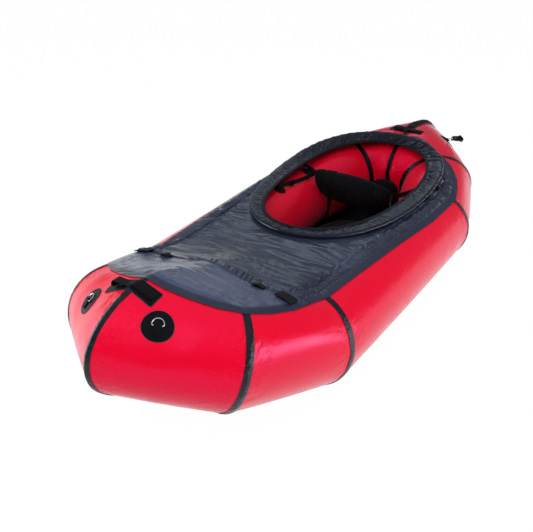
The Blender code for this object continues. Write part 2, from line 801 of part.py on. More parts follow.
def extruded_outline(name, outlines, width, placement, finish, group=None):
    """Closed outlines in a plane, the second a hole, made width thick and placed."""
    curve = bpy.data.curves.new(name, "CURVE")
    curve.dimensions = "2D"
    curve.fill_mode = "BOTH"
    curve.extrude = width / 2
    curve.resolution_u = 1
    curve.render_resolution_u = 0
    for outline in outlines:
        spline = curve.splines.new("POLY")
        spline.points.add(len(outline) - 1)
        for item, (x, y) in zip(spline.points, outline):
            item.co = (x, y, 0.0, 1.0)
        spline.use_cyclic_u = True
    guide = bpy.data.objects.new(name + "_outline", curve)
    PARTS.objects.link(guide)
    bpy.context.view_layer.update()
    graph = bpy.context.evaluated_depsgraph_get()
    mesh = bpy.data.meshes.new_from_object(guide.evaluated_get(graph))
    bpy.data.objects.remove(guide)
    shape = bmesh.new()
    shape.from_mesh(mesh)
    bpy.data.meshes.remove(mesh)
    bmesh.ops.remove_doubles(shape, verts=shape.verts, dist=CLEARANCE / 10)
    bmesh.ops.transform(shape, matrix=placement, verts=shape.verts)
    bmesh.ops.recalc_face_normals(shape, faces=shape.faces)
    return object_from_bmesh(name, shape, finish, group)


def as_cutter(body):
    body.hide_render = True
    body.display_type = "WIRE"
    return body


def combine(body, other, operation):
    change = body.modifiers.new(operation.lower(), "BOOLEAN")
    change.operation = operation
    change.solver = "EXACT"
    change.object = as_cutter(other)
    return body


def axes_matrix(origin, x_axis, y_axis, z_axis):
    turned = Matrix((x_axis, y_axis, z_axis)).transposed().to_4x4()
    return Matrix.Translation(origin) @ turned


def tab_bore():
    return RING_WIRE_RADIUS + TAB_BORE_CLEARANCE


def tab_barrel():
    return tab_bore() + TAB_THICKNESS


def ring_frame(panel, share, angle, towards_top):
    """Bar centre of a D-ring and its axes: along its bar, the way it lies, and outward."""
    here, along, across, out = skin_frame(panel, share, angle, PATCH_CLEARANCE + PATCH_THICKNESS)
    lie = across if towards_top else -across
    bar = lie.cross(out).normalized()
    return here + out * (tab_barrel() - TAB_SINK), bar, lie, out


def make_ring_patch(name, panel, share, angle, towards_top):
    """A round patch with the webbing tab that holds the ring's bar."""
    patch = skin_disc(name, panel, share, angle, PATCH_RADIUS, BLACK_TAPE)
    centre, bar, lie, out = ring_frame(panel, share, angle, towards_top)
    barrel = tab_barrel()
    steps = 10
    outline = [(-TAB_LENGTH, -barrel), (0.0, -barrel)]
    for step in range(1, steps):
        turn = -math.pi / 2 + math.pi * step / steps
        outline.append((barrel * math.cos(turn), barrel * math.sin(turn)))
    outline += [(0.0, barrel), (-barrel, barrel), (-2 * barrel, TAB_THICKNESS - barrel),
                (-TAB_LENGTH, TAB_THICKNESS - barrel)]
    hole = [(tab_bore() * math.cos(turn), tab_bore() * math.sin(turn))
            for turn in round_angles(steps + 2)]
    placement = axes_matrix(centre, lie, out, lie.cross(out))
    tab = extruded_outline(name + "_tab", [outline, hole], TAB_WIDTH, placement, BLACK_WEBBING,
                           CUTTERS)
    return combine(patch, tab, "UNION")


def ring_reach(place, lie, out):
    """The way a ring points from its bar when at rest."""
    tilt = math.radians(STERN_PORT_RING_REST_DEG if place == "stern_port" else RING_REST_DEG)
    return lie * math.cos(tilt) + out * math.sin(tilt)


def ring_points(centre, bar, reach):
    """A D: its straight bar in the tab, two short legs and a half circle."""
    corner = RING_WIRE_RADIUS
    flat = [(-RING_HALF_WIDTH + corner, 0.0), (0.0, 0.0), (RING_HALF_WIDTH - corner, 0.0),
            (RING_HALF_WIDTH, corner)]
    steps = 10
    for step in range(steps + 1):
        turn = math.pi * step / steps
        flat.append((RING_HALF_WIDTH * math.cos(turn),
                     RING_LEG + RING_HALF_WIDTH * math.sin(turn)))
    flat.append((-RING_HALF_WIDTH, corner))
    return [centre + bar * x + reach * y for x, y in flat]


RING_PLACES = {
    "bow_port": (BOW, BOW_PATCH_PORT_SHARE, BOW_PATCH_PORT_DEG, True),
    "bow_starboard": (COUNT - 1, 1 - BOW_PATCH_STARBOARD_SHARE, BOW_PATCH_STARBOARD_DEG, True),
    "stern_port": (STERN_PORT, STERN_PATCH_SHARE, STERN_PATCH_DEG, False),
    "stern_starboard": (STERN_STARBOARD, 1 - STERN_PATCH_SHARE, STERN_PATCH_DEG, False),
}


def make_ring_sets():
    for place, (panel, share, angle_deg, towards_top) in RING_PLACES.items():
        angle = math.radians(angle_deg)
        make_ring_patch(place.replace("_", "_ring_patch_"), panel, share, angle, towards_top)
        centre, bar, lie, out = ring_frame(panel, share, angle, towards_top)
        tube_along(place.replace("_", "_d_ring_"),
                   ring_points(centre, bar, ring_reach(place, lie, out)), RING_WIRE_RADIUS,
                   STEEL, cyclic=True)


def buckle_outline():
    """A ladder-lock seen from above: a frame with two slots, one each side of its middle bar."""
    half_length, half_width = BUCKLE_LENGTH / 2, BUCKLE_WIDTH / 2
    frame = [(-half_length, -half_width), (half_length, -half_width),
             (half_length, half_width), (-half_length, half_width)]
    inner = half_width - BUCKLE_BAR
    slots = []
    for side in (-1, 1):
        near, far = side * BUCKLE_BAR / 2, side * (half_length - BUCKLE_BAR)
        slots.append([(near, -inner), (far, -inner), (far, inner), (near, inner)])
    return [frame] + slots


def stern_buckle_frame():
    """Middle of the stern port ring's arc, the way the buckle reaches, its bar and its face."""
    panel, share, angle_deg, towards_top = RING_PLACES["stern_port"]
    centre, bar, lie, out = ring_frame(panel, share, math.radians(angle_deg), towards_top)
    reach = ring_reach("stern_port", lie, out)
    rise = reach.cross(bar).normalized()
    if rise.dot(out) < 0:
        rise = -rise
    return centre + reach * (RING_LEG + RING_HALF_WIDTH), reach, bar, rise


def make_stern_buckle():
    """The ladder-lock on the stern port ring, held by a short loop of webbing."""
    arc_middle, reach, bar, rise = stern_buckle_frame()
    bore = tab_bore()
    outer = bore + TAB_THICKNESS
    end = BUCKLE_BAR + 2 * outer
    steps = 10
    outline = [(end, -outer), (end, outer), (0.0, outer)]
    for step in range(1, steps):
        turn = math.pi / 2 + math.pi * step / steps
        outline.append((outer * math.cos(turn), outer * math.sin(turn)))
    outline.append((0.0, -outer))
    hole = [(bore * math.cos(turn), bore * math.sin(turn)) for turn in round_angles(steps + 2)]
    width = RING_HALF_WIDTH / 4
    placement = axes_matrix(arc_middle, reach, rise, reach.cross(rise))
    loop = extruded_outline("stern_buckle", [outline, hole], width, placement, BLACK_PLASTIC)
    plate_centre = arc_middle + reach * (end + BUCKLE_LENGTH / 2 - BUCKLE_BAR / 2)
    plate = extruded_outline("stern_buckle_plate", buckle_outline(), BUCKLE_THICKNESS,
                             axes_matrix(plate_centre, reach, bar, reach.cross(bar)),
                             BLACK_PLASTIC, CUTTERS)
    return combine(loop, plate, "UNION")


# Things set on the top of the hull or the deck, found by looking straight down on them

def tree_of(names):
    bpy.context.view_layer.update()
    graph = bpy.context.evaluated_depsgraph_get()
    shape = bmesh.new()
    for name in names:
        mesh = bpy.data.meshes.new_from_object(bpy.data.objects[name].evaluated_get(graph))
        shape.from_mesh(mesh)
        bpy.data.meshes.remove(mesh)
    tree = BVHTree.FromBMesh(shape)
    shape.free()
    return tree


def height_on(tree, x, y):
    """Height of what lies under a place, or just beside it over the gap between two panels."""
    for aside in (0.0, PANEL_GAP):
        hit = tree.ray_cast(Vector((x + aside, y, HULL_LENGTH)), Vector((0, 0, -1)))[0]
        if hit:
            return hit.z
    raise ValueError("nothing under %.3f, %.3f" % (x, y))


def make_handle(end, centre_x, centre_y):
    """A patch across the tube's top with two sewn feet, and the webbing arch between them."""
    tubes = tree_of([name for name in PANEL_NAMES if name.startswith(end)])
    lift = CLOTH_STANDOFF + HANDLE_PATCH_CLEARANCE
    half_length, half_width = HANDLE_PATCH_LENGTH / 2, HANDLE_PATCH_WIDTH / 2
    half_webbing = HANDLE_WEBBING_WIDTH / 2
    foot_x = (HANDLE_FOOT_IN, HANDLE_FOOT_IN + HANDLE_STEP,
              HANDLE_FOOT_OUT - HANDLE_STEP, HANDLE_FOOT_OUT)
    right = [HANDLE_FOOT_IN / 3, 2 * HANDLE_FOOT_IN / 3, *foot_x, half_length]
    columns = [-x for x in reversed(right)] + [-centre_x] + right
    side_y = (half_webbing - HANDLE_STEP, half_webbing, half_width)
    rows = [-y for y in reversed(side_y)] + [0.0] + list(side_y)
    upper, lower = [], []
    for x in columns:
        heights = [(y, height_on(tubes, centre_x + x, centre_y + y)) for y in rows]
        in_foot = foot_x[1] <= abs(x) <= foot_x[2]
        lower.append([Vector((centre_x + x, centre_y + y, z + lift)) for y, z in heights])
        line = []
        for y, z in heights:
            thick = PATCH_THICKNESS
            if in_foot and abs(y) < half_webbing:
                thick += HANDLE_WEBBING_THICKNESS
            line.append(Vector((centre_x + x, centre_y + y, z + lift + thick)))
        upper.append(line)
    sheet(end + "_handle_patch", upper, lower, BLACK_TAPE)
    span = HANDLE_FOOT_IN - HANDLE_FOOT_CLEARANCE
    above = lift + PATCH_THICKNESS + HANDLE_FOOT_CLEARANCE
    across = [centre_y + side * half_webbing for side in (-1, 0, 1)]
    inner = span - HANDLE_WEBBING_THICKNESS
    feet = [max(height_on(tubes, centre_x + x, y) for x in (-span, -inner, inner, span)) + above
            for y in across]
    upper, lower = [], []
    steps = 12
    for step in range(steps + 1):
        turn = math.pi * step / steps
        x = -span * math.cos(turn)
        rise = HANDLE_RISE * math.sin(turn) ** 0.8
        slope = Vector((math.sin(turn) * span, 0, HANDLE_RISE * math.cos(turn)))
        inward = Vector((slope.z, 0, -slope.x)).normalized()
        if step in (0, steps):
            inward = Vector((math.cos(turn), 0, 0))
        outer = [Vector((centre_x + x, y, foot + rise)) for y, foot in zip(across, feet)]
        upper.append(outer)
        lower.append([point + inward * HANDLE_WEBBING_THICKNESS for point in outer])
    return sheet(end + "_handle", upper, lower, BLACK_WEBBING)


def make_stern_strip():
    """A wide patch along the stern seam with webbing sewn down its middle."""
    lift = CLEARANCE + TAPE_THICKNESS + STERN_STRIP_CLEARANCE
    half, webbing = STERN_STRIP_WIDTH / 2, STERN_STRIP_WEBBING_WIDTH / 2
    aside = (half, webbing, webbing - HANDLE_STEP)

    def row(angle, heights):
        points = []
        for panel, distances, levels in ((STERN_STARBOARD, aside, heights),
                                         (STERN_PORT, aside[::-1], heights[::-1])):
            for distance, level in zip(distances, levels):
                share = distance / panel_length(panel)
                if panel == STERN_PORT:
                    share = 1 - share
                points.append(on_tube(panel, share, angle, level))
        return points[:3] + [on_ring(STERN_STARBOARD, angle, heights[-1])] + points[3:]

    flat = lift + PATCH_THICKNESS
    raised = flat + HANDLE_WEBBING_THICKNESS
    angles = [math.radians(degrees) for degrees in STERN_STRIP_DEG]
    upper = [row(angle, (flat, flat, raised)) for angle in angles]
    lower = [row(angle, (lift, lift, lift)) for angle in angles]
    return sheet("stern_strip", upper, lower, BLACK_TAPE)


def make_webbing_loop(name, tree, centre, length, width, turn_deg):
    """A flat loop of webbing sewn down at both ends: a strip on the cloth and an arch over it."""
    turn = math.radians(turn_deg)
    long_way = Vector((math.cos(turn), math.sin(turn), 0))
    wide_way = Vector((-math.sin(turn), math.cos(turn), 0))
    steps = 8
    outer_rows, inner_rows = [], []
    for side in (-1, -1 / 3, 1 / 3, 1):
        base = []
        for step in range(steps + 1):
            spot = centre + wide_way * (side * width / 2) + long_way * (length * (step / steps - 0.5))
            spot.z = height_on(tree, spot.x, spot.y) + LOOP_CLEARANCE
            base.append(spot)
        rises = [LOOP_RISE * math.sin(math.pi * step / steps) + LOOP_CLEARANCE
                 for step in range(steps + 1)]
        up = Vector((0, 0, 1))
        over = [point + up * (2 * LOOP_THICKNESS + rise) for point, rise in zip(base, rises)]
        inner_base = [point + up * LOOP_THICKNESS for point in base]
        inner_over = [point + up * (LOOP_THICKNESS + rise) for point, rise in zip(base, rises)]
        for row in (inner_base, inner_over):
            row[0] += long_way * LOOP_THICKNESS
            row[-1] -= long_way * LOOP_THICKNESS
        outer_rows.append(base + list(reversed(over)))
        inner_rows.append(inner_base + list(reversed(inner_over)))
    return sheet(name, outer_rows, inner_rows, BLACK_WEBBING, wrap_v=True)


def make_fore_deck_loops():
    tree = tree_of(["spray_deck"])
    y = FORE_LOOPS_BEHIND_TIP - HULL_LENGTH / 2
    for side, side_name in ((PORT, "port"), (STARBOARD, "starboard")):
        make_webbing_loop("wide_deck_loop_" + side_name, tree, Vector((side * WIDE_LOOP_X, y, 0)),
                          WIDE_LOOP_LENGTH, WIDE_LOOP_WIDTH, side * WIDE_LOOP_TURN_DEG)
        make_webbing_loop("narrow_deck_loop_" + side_name, tree,
                          Vector((side * NARROW_LOOP_X, y, 0)),
                          NARROW_LOOP_LENGTH, NARROW_LOOP_WIDTH, side * NARROW_LOOP_TURN_DEG)


# Soft pieces: a box cage, shaped, with Subdivision Surface on it

def cushion(name, size, placement, finish, shape_point=None, cuts=3, levels=1):
    """A crowned cushion from a box cage whose sides draw in towards its edges."""
    cage = bmesh.new()
    bmesh.ops.create_cube(cage, size=2.0)
    bmesh.ops.subdivide_edges(cage, edges=cage.edges[:], cuts=cuts, use_grid_fill=True)
    for vert in cage.verts:
        unit = vert.co.copy()
        crown = [1 - 0.16 * (unit[(axis + 1) % 3] ** 2 + unit[(axis + 2) % 3] ** 2) / 2
                 - 0.18 * (unit[(axis + 1) % 3] * unit[(axis + 2) % 3]) ** 2 for axis in range(3)]
        shaped = Vector([unit[axis] * crown[axis] for axis in range(3)])
        if shape_point:
            shaped = shape_point(shaped)
        vert.co = Vector([shaped[axis] * size[axis] / 2 for axis in range(3)])
    bmesh.ops.transform(cage, matrix=placement, verts=cage.verts)
    bmesh.ops.recalc_face_normals(cage, faces=cage.faces)
    body = object_from_bmesh(name, cage, finish)
    smooth = body.modifiers.new("crown", "SUBSURF")
    smooth.levels = levels
    smooth.render_levels = levels
    return body


def backrest_placement():
    y = HULL_LENGTH / 2 - BACKREST_AHEAD_OF_STERN
    z = TUBE_TOP - BACKREST_BELOW_TUBE_TOP
    turn = (Matrix.Rotation(math.radians(BACKREST_ROLL_DEG), 4, "Y")
            @ Matrix.Rotation(math.radians(-BACKREST_LEAN_DEG), 4, "X"))
    return Matrix.Translation((BACKREST_X, y, z)) @ turn


def make_backrest():
    """A pad between the side tubes, narrower at its foot."""
    def taper(point):
        width = 1 + (BACKREST_FOOT_SHARE - 1) * (1 - point.z) / 2
        return Vector((point.x * width, point.y, point.z))

    return cushion("backrest", (BACKREST_WIDTH, BACKREST_THICKNESS, BACKREST_HEIGHT),
                   backrest_placement(), BLACK_FABRIC, taper)


def backrest_end(side):
    """Where a strap's inner face lies against the backrest's end, above its middle."""
    placement = backrest_placement()
    inward = (placement.to_3x3() @ Vector((-side, 0.0, 0.0))).normalized()
    outside = placement @ Vector((side * BACKREST_WIDTH, 0.0, BACKREST_STRAP_RISE))
    return tree_of(["backrest"]).ray_cast(outside, inward)[0] - inward * STRAP_END_GAP


ANCHORS = {"front": FRONT_ANCHOR_AHEAD, "rear": REAR_ANCHOR_AHEAD}


def anchor_place(which, side):
    """Panel and share along it of a strap's anchor, ahead of the aft corner."""
    ahead = ANCHORS[which] / panel_length(SIDE_PORT)
    return (SIDE_PORT, 1 - ahead) if side == PORT else (SIDE_STARBOARD, ahead)


def anchor_eye(which, side):
    """Middle of the eye that a strap is sewn to, standing off the anchor's patch."""
    panel, share = anchor_place(which, side)
    here, along, across, out = skin_frame(panel, share, math.radians(ANCHOR_DEG),
                                          PATCH_CLEARANCE + PATCH_THICKNESS)
    return here + out * ANCHOR_LOOP_STAND, along, across, out


def make_anchor(which, side, side_name):
    """A round patch on the inner wall with an upright eye of webbing for the strap."""
    panel, share = anchor_place(which, side)
    name = which + "_anchor_patch_" + side_name
    patch = skin_disc(name, panel, share, math.radians(ANCHOR_DEG), ANCHOR_RADIUS, BLACK_TAPE)
    eye, along, across, out = anchor_eye(which, side)
    half = STRAP_WIDTH / 2
    foot = ANCHOR_LOOP_STAND + TAB_SINK + PATCH_THICKNESS / 2
    outline = [(-half, -foot), (half, -foot), (half, 0.0), (-half, 0.0)]
    placement = axes_matrix(eye, along, out, along.cross(out))
    stem = extruded_outline(name + "_eye", [outline], TAB_THICKNESS, placement, BLACK_WEBBING,
                            CUTTERS)
    return combine(patch, stem, "UNION")


def strap_points(which, side):
    """The strap's middle line, from its anchor's eye to the backrest's end."""
    eye, along, across, out = anchor_eye(which, side)
    end = backrest_end(side)
    reach = 1 if which == "rear" else -1
    inner = end + Vector((side * STRAP_THICKNESS / 2, reach * CLEARANCE, 0.0))
    outer = inner + Vector((0.0, reach * STRAP_OVERLAP, 0.0))
    start = eye + out * (STRAP_EYE_GAP + STRAP_WIDTH / 2)
    points = [start]
    steps = 5
    for step in range(1, steps):
        share = step / steps
        point = start.lerp(outer, share)
        point.z -= STRAP_SAG * 4 * share * (1 - share)
        points.append(point)
    return points + [outer, inner]


def ribbon(name, points, widths, width, thickness, finish, group=None):
    """A flat strap along points, its width in the given directions."""
    upper, lower = [], []
    for i, (point, broad) in enumerate(zip(points, widths)):
        before, after = points[max(i - 1, 0)], points[min(i + 1, len(points) - 1)]
        forward = (after - before).normalized()
        wide = (broad - forward * broad.dot(forward)).normalized()
        normal = forward.cross(wide).normalized() * thickness / 2
        edges = [point - wide * width / 2, point + wide * width / 2]
        upper.append([edge + normal for edge in edges])
        lower.append([edge - normal for edge in edges])
    return sheet(name, upper, lower, finish, group=group)


def make_strap(which, side, side_name):
    points = strap_points(which, side)
    widths = [Vector((0, 0, 1))] * len(points)
    return ribbon(which + "_strap_" + side_name, points, widths, STRAP_WIDTH, STRAP_THICKNESS,
                  BLACK_WEBBING)


def make_strap_buckle(side, side_name):
    """The ladder-lock on a front strap, which runs through its two slots."""
    points = strap_points("front", side)
    start, end = points[0], points[-2]
    middle = start.lerp(end, BUCKLE_ALONG_SHARE)
    middle.z -= STRAP_SAG * 4 * BUCKLE_ALONG_SHARE * (1 - BUCKLE_ALONG_SHARE)
    forward = (end - start).normalized()
    wide = Vector((0, 0, 1))
    wide = (wide - forward * wide.dot(forward)).normalized()
    normal = forward.cross(wide).normalized()
    if normal.x * side > 0:
        normal = -normal
    lift = (STRAP_THICKNESS + BUCKLE_THICKNESS) / 2 + STRAP_CLEARANCE
    placement = axes_matrix(middle + normal * lift, forward, wide, forward.cross(wide))
    return extruded_outline("strap_buckle_" + side_name, buckle_outline(), BUCKLE_THICKNESS,
                            placement, BLACK_PLASTIC)


def make_backrest_rigging():
    for side, side_name in ((PORT, "port"), (STARBOARD, "starboard")):
        for which in ANCHORS:
            make_anchor(which, side, side_name)
            make_strap(which, side, side_name)
        make_strap_buckle(side, side_name)


def seat_centre():
    bottom = FLOOR_THICKNESS + CLEARANCE - SEAT_SINK
    return Vector((0.0, HULL_LENGTH / 2 - SEAT_AHEAD_OF_STERN, bottom + SEAT_FRONT_HEIGHT / 2))


def make_seat():
    """A cushion on the floor, higher in front, with a pocket for its valve."""
    def wedge(point):
        back = (point.y + 1) / 2
        height = 1 + (SEAT_REAR_HEIGHT / SEAT_FRONT_HEIGHT - 1) * back
        return Vector((point.x, point.y, (point.z + 1) * height - 1))

    seat = cushion("seat", (SEAT_WIDTH, SEAT_LENGTH, SEAT_FRONT_HEIGHT),
                   Matrix.Translation(seat_centre()), BLACK_FABRIC, wedge)
    placement = seat_valve_placement()
    pocket = turned("seat_valve_pocket", [
        (0.0, -SEAT_VALVE_POCKET - CLEARANCE),
        (SEAT_VALVE_RADIUS + CLEARANCE, -SEAT_VALVE_POCKET - CLEARANCE),
        (SEAT_VALVE_RADIUS + CLEARANCE, SEAT_VALVE_POCKET + OVERRUN),
        (0.0, SEAT_VALVE_POCKET + OVERRUN),
    ], placement, BLACK_PLASTIC, CUTTERS)
    return combine(seat, pocket, "DIFFERENCE")


def seat_valve_placement():
    """On the seat's front face, pointing forward."""
    front = HULL_LENGTH / 2 - SEAT_AHEAD_OF_STERN - SEAT_LENGTH / 2
    z = FLOOR_THICKNESS + SEAT_FRONT_HEIGHT / 2
    return Matrix.Translation((SEAT_VALVE_X, front, z)) @ Matrix.Rotation(math.pi / 2, 4, "X")


def make_seat_valve():
    radius, length = SEAT_VALVE_RADIUS, SEAT_VALVE_LENGTH
    waist = radius * 0.7
    return turned("seat_valve", [
        (0.0, length), (waist, length), (radius, length * 0.8), (radius, length * 0.5),
        (waist, length * 0.4), (waist, length * 0.2), (radius, length * 0.1),
        (radius, -SEAT_VALVE_POCKET), (0.0, -SEAT_VALVE_POCKET),
    ], seat_valve_placement(), BLACK_PLASTIC)


def rest_on(body, name):
    """Lowers or lifts a body until the least gap straight down to another is the clearance."""
    under = tree_of([name])
    mesh = body.evaluated_get(bpy.context.evaluated_depsgraph_get()).to_mesh()
    drops = [vert.co.z - height_on(under, vert.co.x, vert.co.y) for vert in mesh.vertices]
    body.data.transform(Matrix.Translation((0, 0, CLEARANCE - min(drops))))
    return body


def make_bundle():
    """A soft bundle standing on the floor between the backrest and the stern tube."""
    y = HULL_LENGTH / 2 - BUNDLE_AHEAD_OF_STERN
    centre = Vector((BUNDLE_X, y, BUNDLE_HEIGHT))
    bundle = cushion("stowed_bundle", (BUNDLE_WIDTH, BUNDLE_DEPTH, BUNDLE_HEIGHT),
                     Matrix.Translation(centre), BLACK_FABRIC, cuts=2)
    return rest_on(bundle, "floor")


# Turned pieces

def turned(name, profile, placement, finish, group=None):
    """A profile of (radius, height) points from the top down, screwed round its axis."""
    shape = bmesh.new()
    if profile[0][1] < profile[-1][1]:
        profile = list(reversed(profile))
    verts = [shape.verts.new((radius, 0.0, height)) for radius, height in profile]
    for a, b in zip(verts, verts[1:]):
        shape.edges.new((a, b))
    if profile[0][0] > 0:
        shape.edges.new((verts[-1], verts[0]))
    mesh = bpy.data.meshes.new(name)
    shape.to_mesh(mesh)
    shape.free()
    guide = bpy.data.objects.new(name + "_profile", mesh)
    PARTS.objects.link(guide)
    screw = guide.modifiers.new("turn", "SCREW")
    screw.steps = TURN_STEPS
    screw.render_steps = TURN_STEPS
    screw.use_merge_vertices = True
    screw.merge_threshold = CLEARANCE / 10
    bpy.context.view_layer.update()
    graph = bpy.context.evaluated_depsgraph_get()
    spun = bpy.data.meshes.new_from_object(guide.evaluated_get(graph))
    bpy.data.objects.remove(guide)
    bpy.data.meshes.remove(mesh)
    shape = bmesh.new()
    shape.from_mesh(spun)
    bpy.data.meshes.remove(spun)
    bmesh.ops.remove_doubles(shape, verts=shape.verts, dist=CLEARANCE / 10)
    bmesh.ops.transform(shape, matrix=placement, verts=shape.verts)
    bmesh.ops.recalc_face_normals(shape, faces=shape.faces)
    return object_from_bmesh(name, shape, finish, group)


def valve_placement():
    here, along, across, out = skin_frame(AFT_STARBOARD, VALVE_SHARE, math.radians(VALVE_DEG),
                                          CLEARANCE)
    return axes_matrix(here, along, out.cross(along), out)


def make_valve():
    """The main valve's base, cut to the tube's skin, and its quarter-turn cap."""
    neck_top = VALVE_FLANGE_THICKNESS + VALVE_NECK_HEIGHT
    base = turned("valve_base", [
        (VALVE_BORE_RADIUS, neck_top), (VALVE_NECK_RADIUS, neck_top),
        (VALVE_NECK_RADIUS, VALVE_FLANGE_THICKNESS), (VALVE_FLANGE_RADIUS, VALVE_FLANGE_THICKNESS),
        (VALVE_FLANGE_RADIUS, -VALVE_SINK), (VALVE_BORE_RADIUS, -VALVE_SINK),
    ], valve_placement(), BLACK_PLASTIC)
    tube = sheet("valve_base_seat", tube_grid(AFT_STARBOARD, PATCH_CLEARANCE),
                 tube_grid(AFT_STARBOARD, -2 * VALVE_SINK), BLACK_PLASTIC, wrap_v=True,
                 group=CUTTERS)
    combine(base, tube, "DIFFERENCE")
    inner = VALVE_NECK_RADIUS + CLEARANCE
    low = VALVE_FLANGE_THICKNESS + CLEARANCE
    top = neck_top + CLEARANCE + CAP_TOP
    cap = turned("valve_cap", [
        (0.0, top), (CAP_RADIUS - CAP_TOP / 2, top), (CAP_RADIUS, top - CAP_TOP / 2),
        (CAP_RADIUS, low), (inner, low), (inner, neck_top + CLEARANCE),
        (0.0, neck_top + CLEARANCE),
    ], valve_placement(), BLACK_PLASTIC)
    for index in range(CAP_GRIP_COUNT):
        turn = 2 * math.pi * index / CAP_GRIP_COUNT
        bump = bmesh.new()
        bmesh.ops.create_cone(bump, cap_ends=True, segments=8, radius1=2 * CAP_GRIP_DEPTH,
                              radius2=2 * CAP_GRIP_DEPTH, depth=top - low + 2 * OVERRUN)
        spot = Matrix.Translation(((CAP_RADIUS + CAP_GRIP_DEPTH) * math.cos(turn),
                                   (CAP_RADIUS + CAP_GRIP_DEPTH) * math.sin(turn),
                                   (top + low) / 2))
        bmesh.ops.transform(bump, matrix=valve_placement() @ spot, verts=bump.verts)
        groove = object_from_bmesh("valve_cap_groove_%d" % index, bump, BLACK_PLASTIC, CUTTERS)
        combine(cap, groove, "DIFFERENCE")


# Moving pieces keep their origin on the axis they move about

def hang(name, place):
    """Moves an object's origin and leaves its surface where it is."""
    body = bpy.data.objects[name]
    body.data.transform(Matrix.Translation(-place))
    body.location = place


def hang_moving_pieces():
    for place, (panel, share, angle_deg, towards_top) in RING_PLACES.items():
        centre = ring_frame(panel, share, math.radians(angle_deg), towards_top)[0]
        hang(place.replace("_", "_d_ring_"), centre)
    hang("stern_buckle", stern_buckle_frame()[0])
    for end, x in (("bow", BOW_HANDLE_X), ("stern", STERN_HANDLE_X)):
        spots = [vert.co for vert in bpy.data.objects[end + "_handle"].data.vertices]
        middle_y = (min(spot.y for spot in spots) + max(spot.y for spot in spots)) / 2
        hang(end + "_handle", Vector((x, middle_y, min(spot.z for spot in spots))))
    hang("backrest", backrest_placement() @ Vector((0.0, 0.0, BACKREST_STRAP_RISE)))
    hang("seat_valve", seat_valve_placement().translation)
    hang("valve_cap", valve_placement().translation)


def main():
    make_tubes()
    make_seam_tapes()
    make_floor()
    make_coaming_band()
    make_coaming_hoop()
    make_coaming_binding()
    make_deck()
    make_ring_sets()
    make_stern_buckle()
    make_handle("bow", BOW_HANDLE_X, BOW_HANDLE_BEHIND_TIP - HULL_LENGTH / 2)
    make_handle("stern", STERN_HANDLE_X, HULL_LENGTH / 2 - STERN_HANDLE_AHEAD_OF_TIP)
    make_stern_strip()
    make_fore_deck_loops()
    make_backrest()
    make_backrest_rigging()
    make_seat()
    make_seat_valve()
    make_bundle()
    make_valve()
    hang_moving_pieces()


main()
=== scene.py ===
"""A packraft with its spray deck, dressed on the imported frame: skins, cloth, webbing and stage."""

import json
import math

import bmesh
import bpy
import numpy as np
from bpy.props import FloatProperty, FloatVectorProperty, PointerProperty
from bpy.types import Operator, Panel, PropertyGroup
from mathutils import Matrix, Vector
from mathutils.bvhtree import BVHTree

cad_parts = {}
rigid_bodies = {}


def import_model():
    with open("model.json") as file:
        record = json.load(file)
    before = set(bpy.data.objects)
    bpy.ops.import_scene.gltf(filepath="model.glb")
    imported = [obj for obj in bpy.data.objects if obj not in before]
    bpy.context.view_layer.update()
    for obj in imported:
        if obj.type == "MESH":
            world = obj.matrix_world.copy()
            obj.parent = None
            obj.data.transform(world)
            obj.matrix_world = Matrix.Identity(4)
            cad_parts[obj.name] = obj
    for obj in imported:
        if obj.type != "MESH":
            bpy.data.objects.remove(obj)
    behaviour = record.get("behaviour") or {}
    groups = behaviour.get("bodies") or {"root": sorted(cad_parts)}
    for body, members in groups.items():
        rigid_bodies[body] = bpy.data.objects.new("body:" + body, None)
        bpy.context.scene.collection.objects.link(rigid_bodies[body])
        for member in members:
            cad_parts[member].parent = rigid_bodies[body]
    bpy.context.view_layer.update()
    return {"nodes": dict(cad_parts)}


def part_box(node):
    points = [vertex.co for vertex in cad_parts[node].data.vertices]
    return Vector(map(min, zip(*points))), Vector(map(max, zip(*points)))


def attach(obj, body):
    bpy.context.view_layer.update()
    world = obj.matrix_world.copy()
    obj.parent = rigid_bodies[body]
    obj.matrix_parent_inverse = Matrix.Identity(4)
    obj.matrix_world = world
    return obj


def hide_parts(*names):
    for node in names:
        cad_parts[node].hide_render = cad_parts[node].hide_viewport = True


bl_info = {
    "name": "Packraft",
    "version": (1, 0, 0),
    "blender": (4, 5, 0),
    "location": "3D View > Sidebar > Packraft",
    "description": "Builds an inflatable packraft with its spray deck on its frame",
    "category": "Object",
}

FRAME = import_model()
NODES = FRAME["nodes"]

# Hull: corners of the tubes' centre line from bow to stern by port, and the tube's radius
TUBE_RADIUS = 0.145
BASE_HEIGHT = 0.1484
HULL_LENGTH = 2.376
BOW_OVERHANG = 0.2065
STERN_OVERHANG = 0.2921
PORT_CORNERS = (
    (0.0, BOW_OVERHANG - HULL_LENGTH / 2, 0.1519),
    (0.1759, 0.3008 - HULL_LENGTH / 2, 0.0897),
    (0.2623, 0.5932 - HULL_LENGTH / 2, 0.0),
    (0.2983, HULL_LENGTH / 2 - 0.8494, 0.0),
    (0.2066, HULL_LENGTH / 2 - 0.5238, 0.0374),
    (0.0, HULL_LENGTH / 2 - STERN_OVERHANG, 0.0878),
)
CORNER_NAMES = (
    "bow", "bow_shoulder_port", "fore_corner_port", "aft_corner_port", "stern_shoulder_port",
    "stern", "stern_shoulder_starboard", "aft_corner_starboard", "fore_corner_starboard",
    "bow_shoulder_starboard",
)
PANEL_NAMES = (
    "bow_tube_port", "fore_quarter_tube_port", "side_tube_port", "aft_quarter_tube_port",
    "stern_tube_port", "stern_tube_starboard", "aft_quarter_tube_starboard",
    "side_tube_starboard", "fore_quarter_tube_starboard", "bow_tube_starboard",
)
COUNT = 10
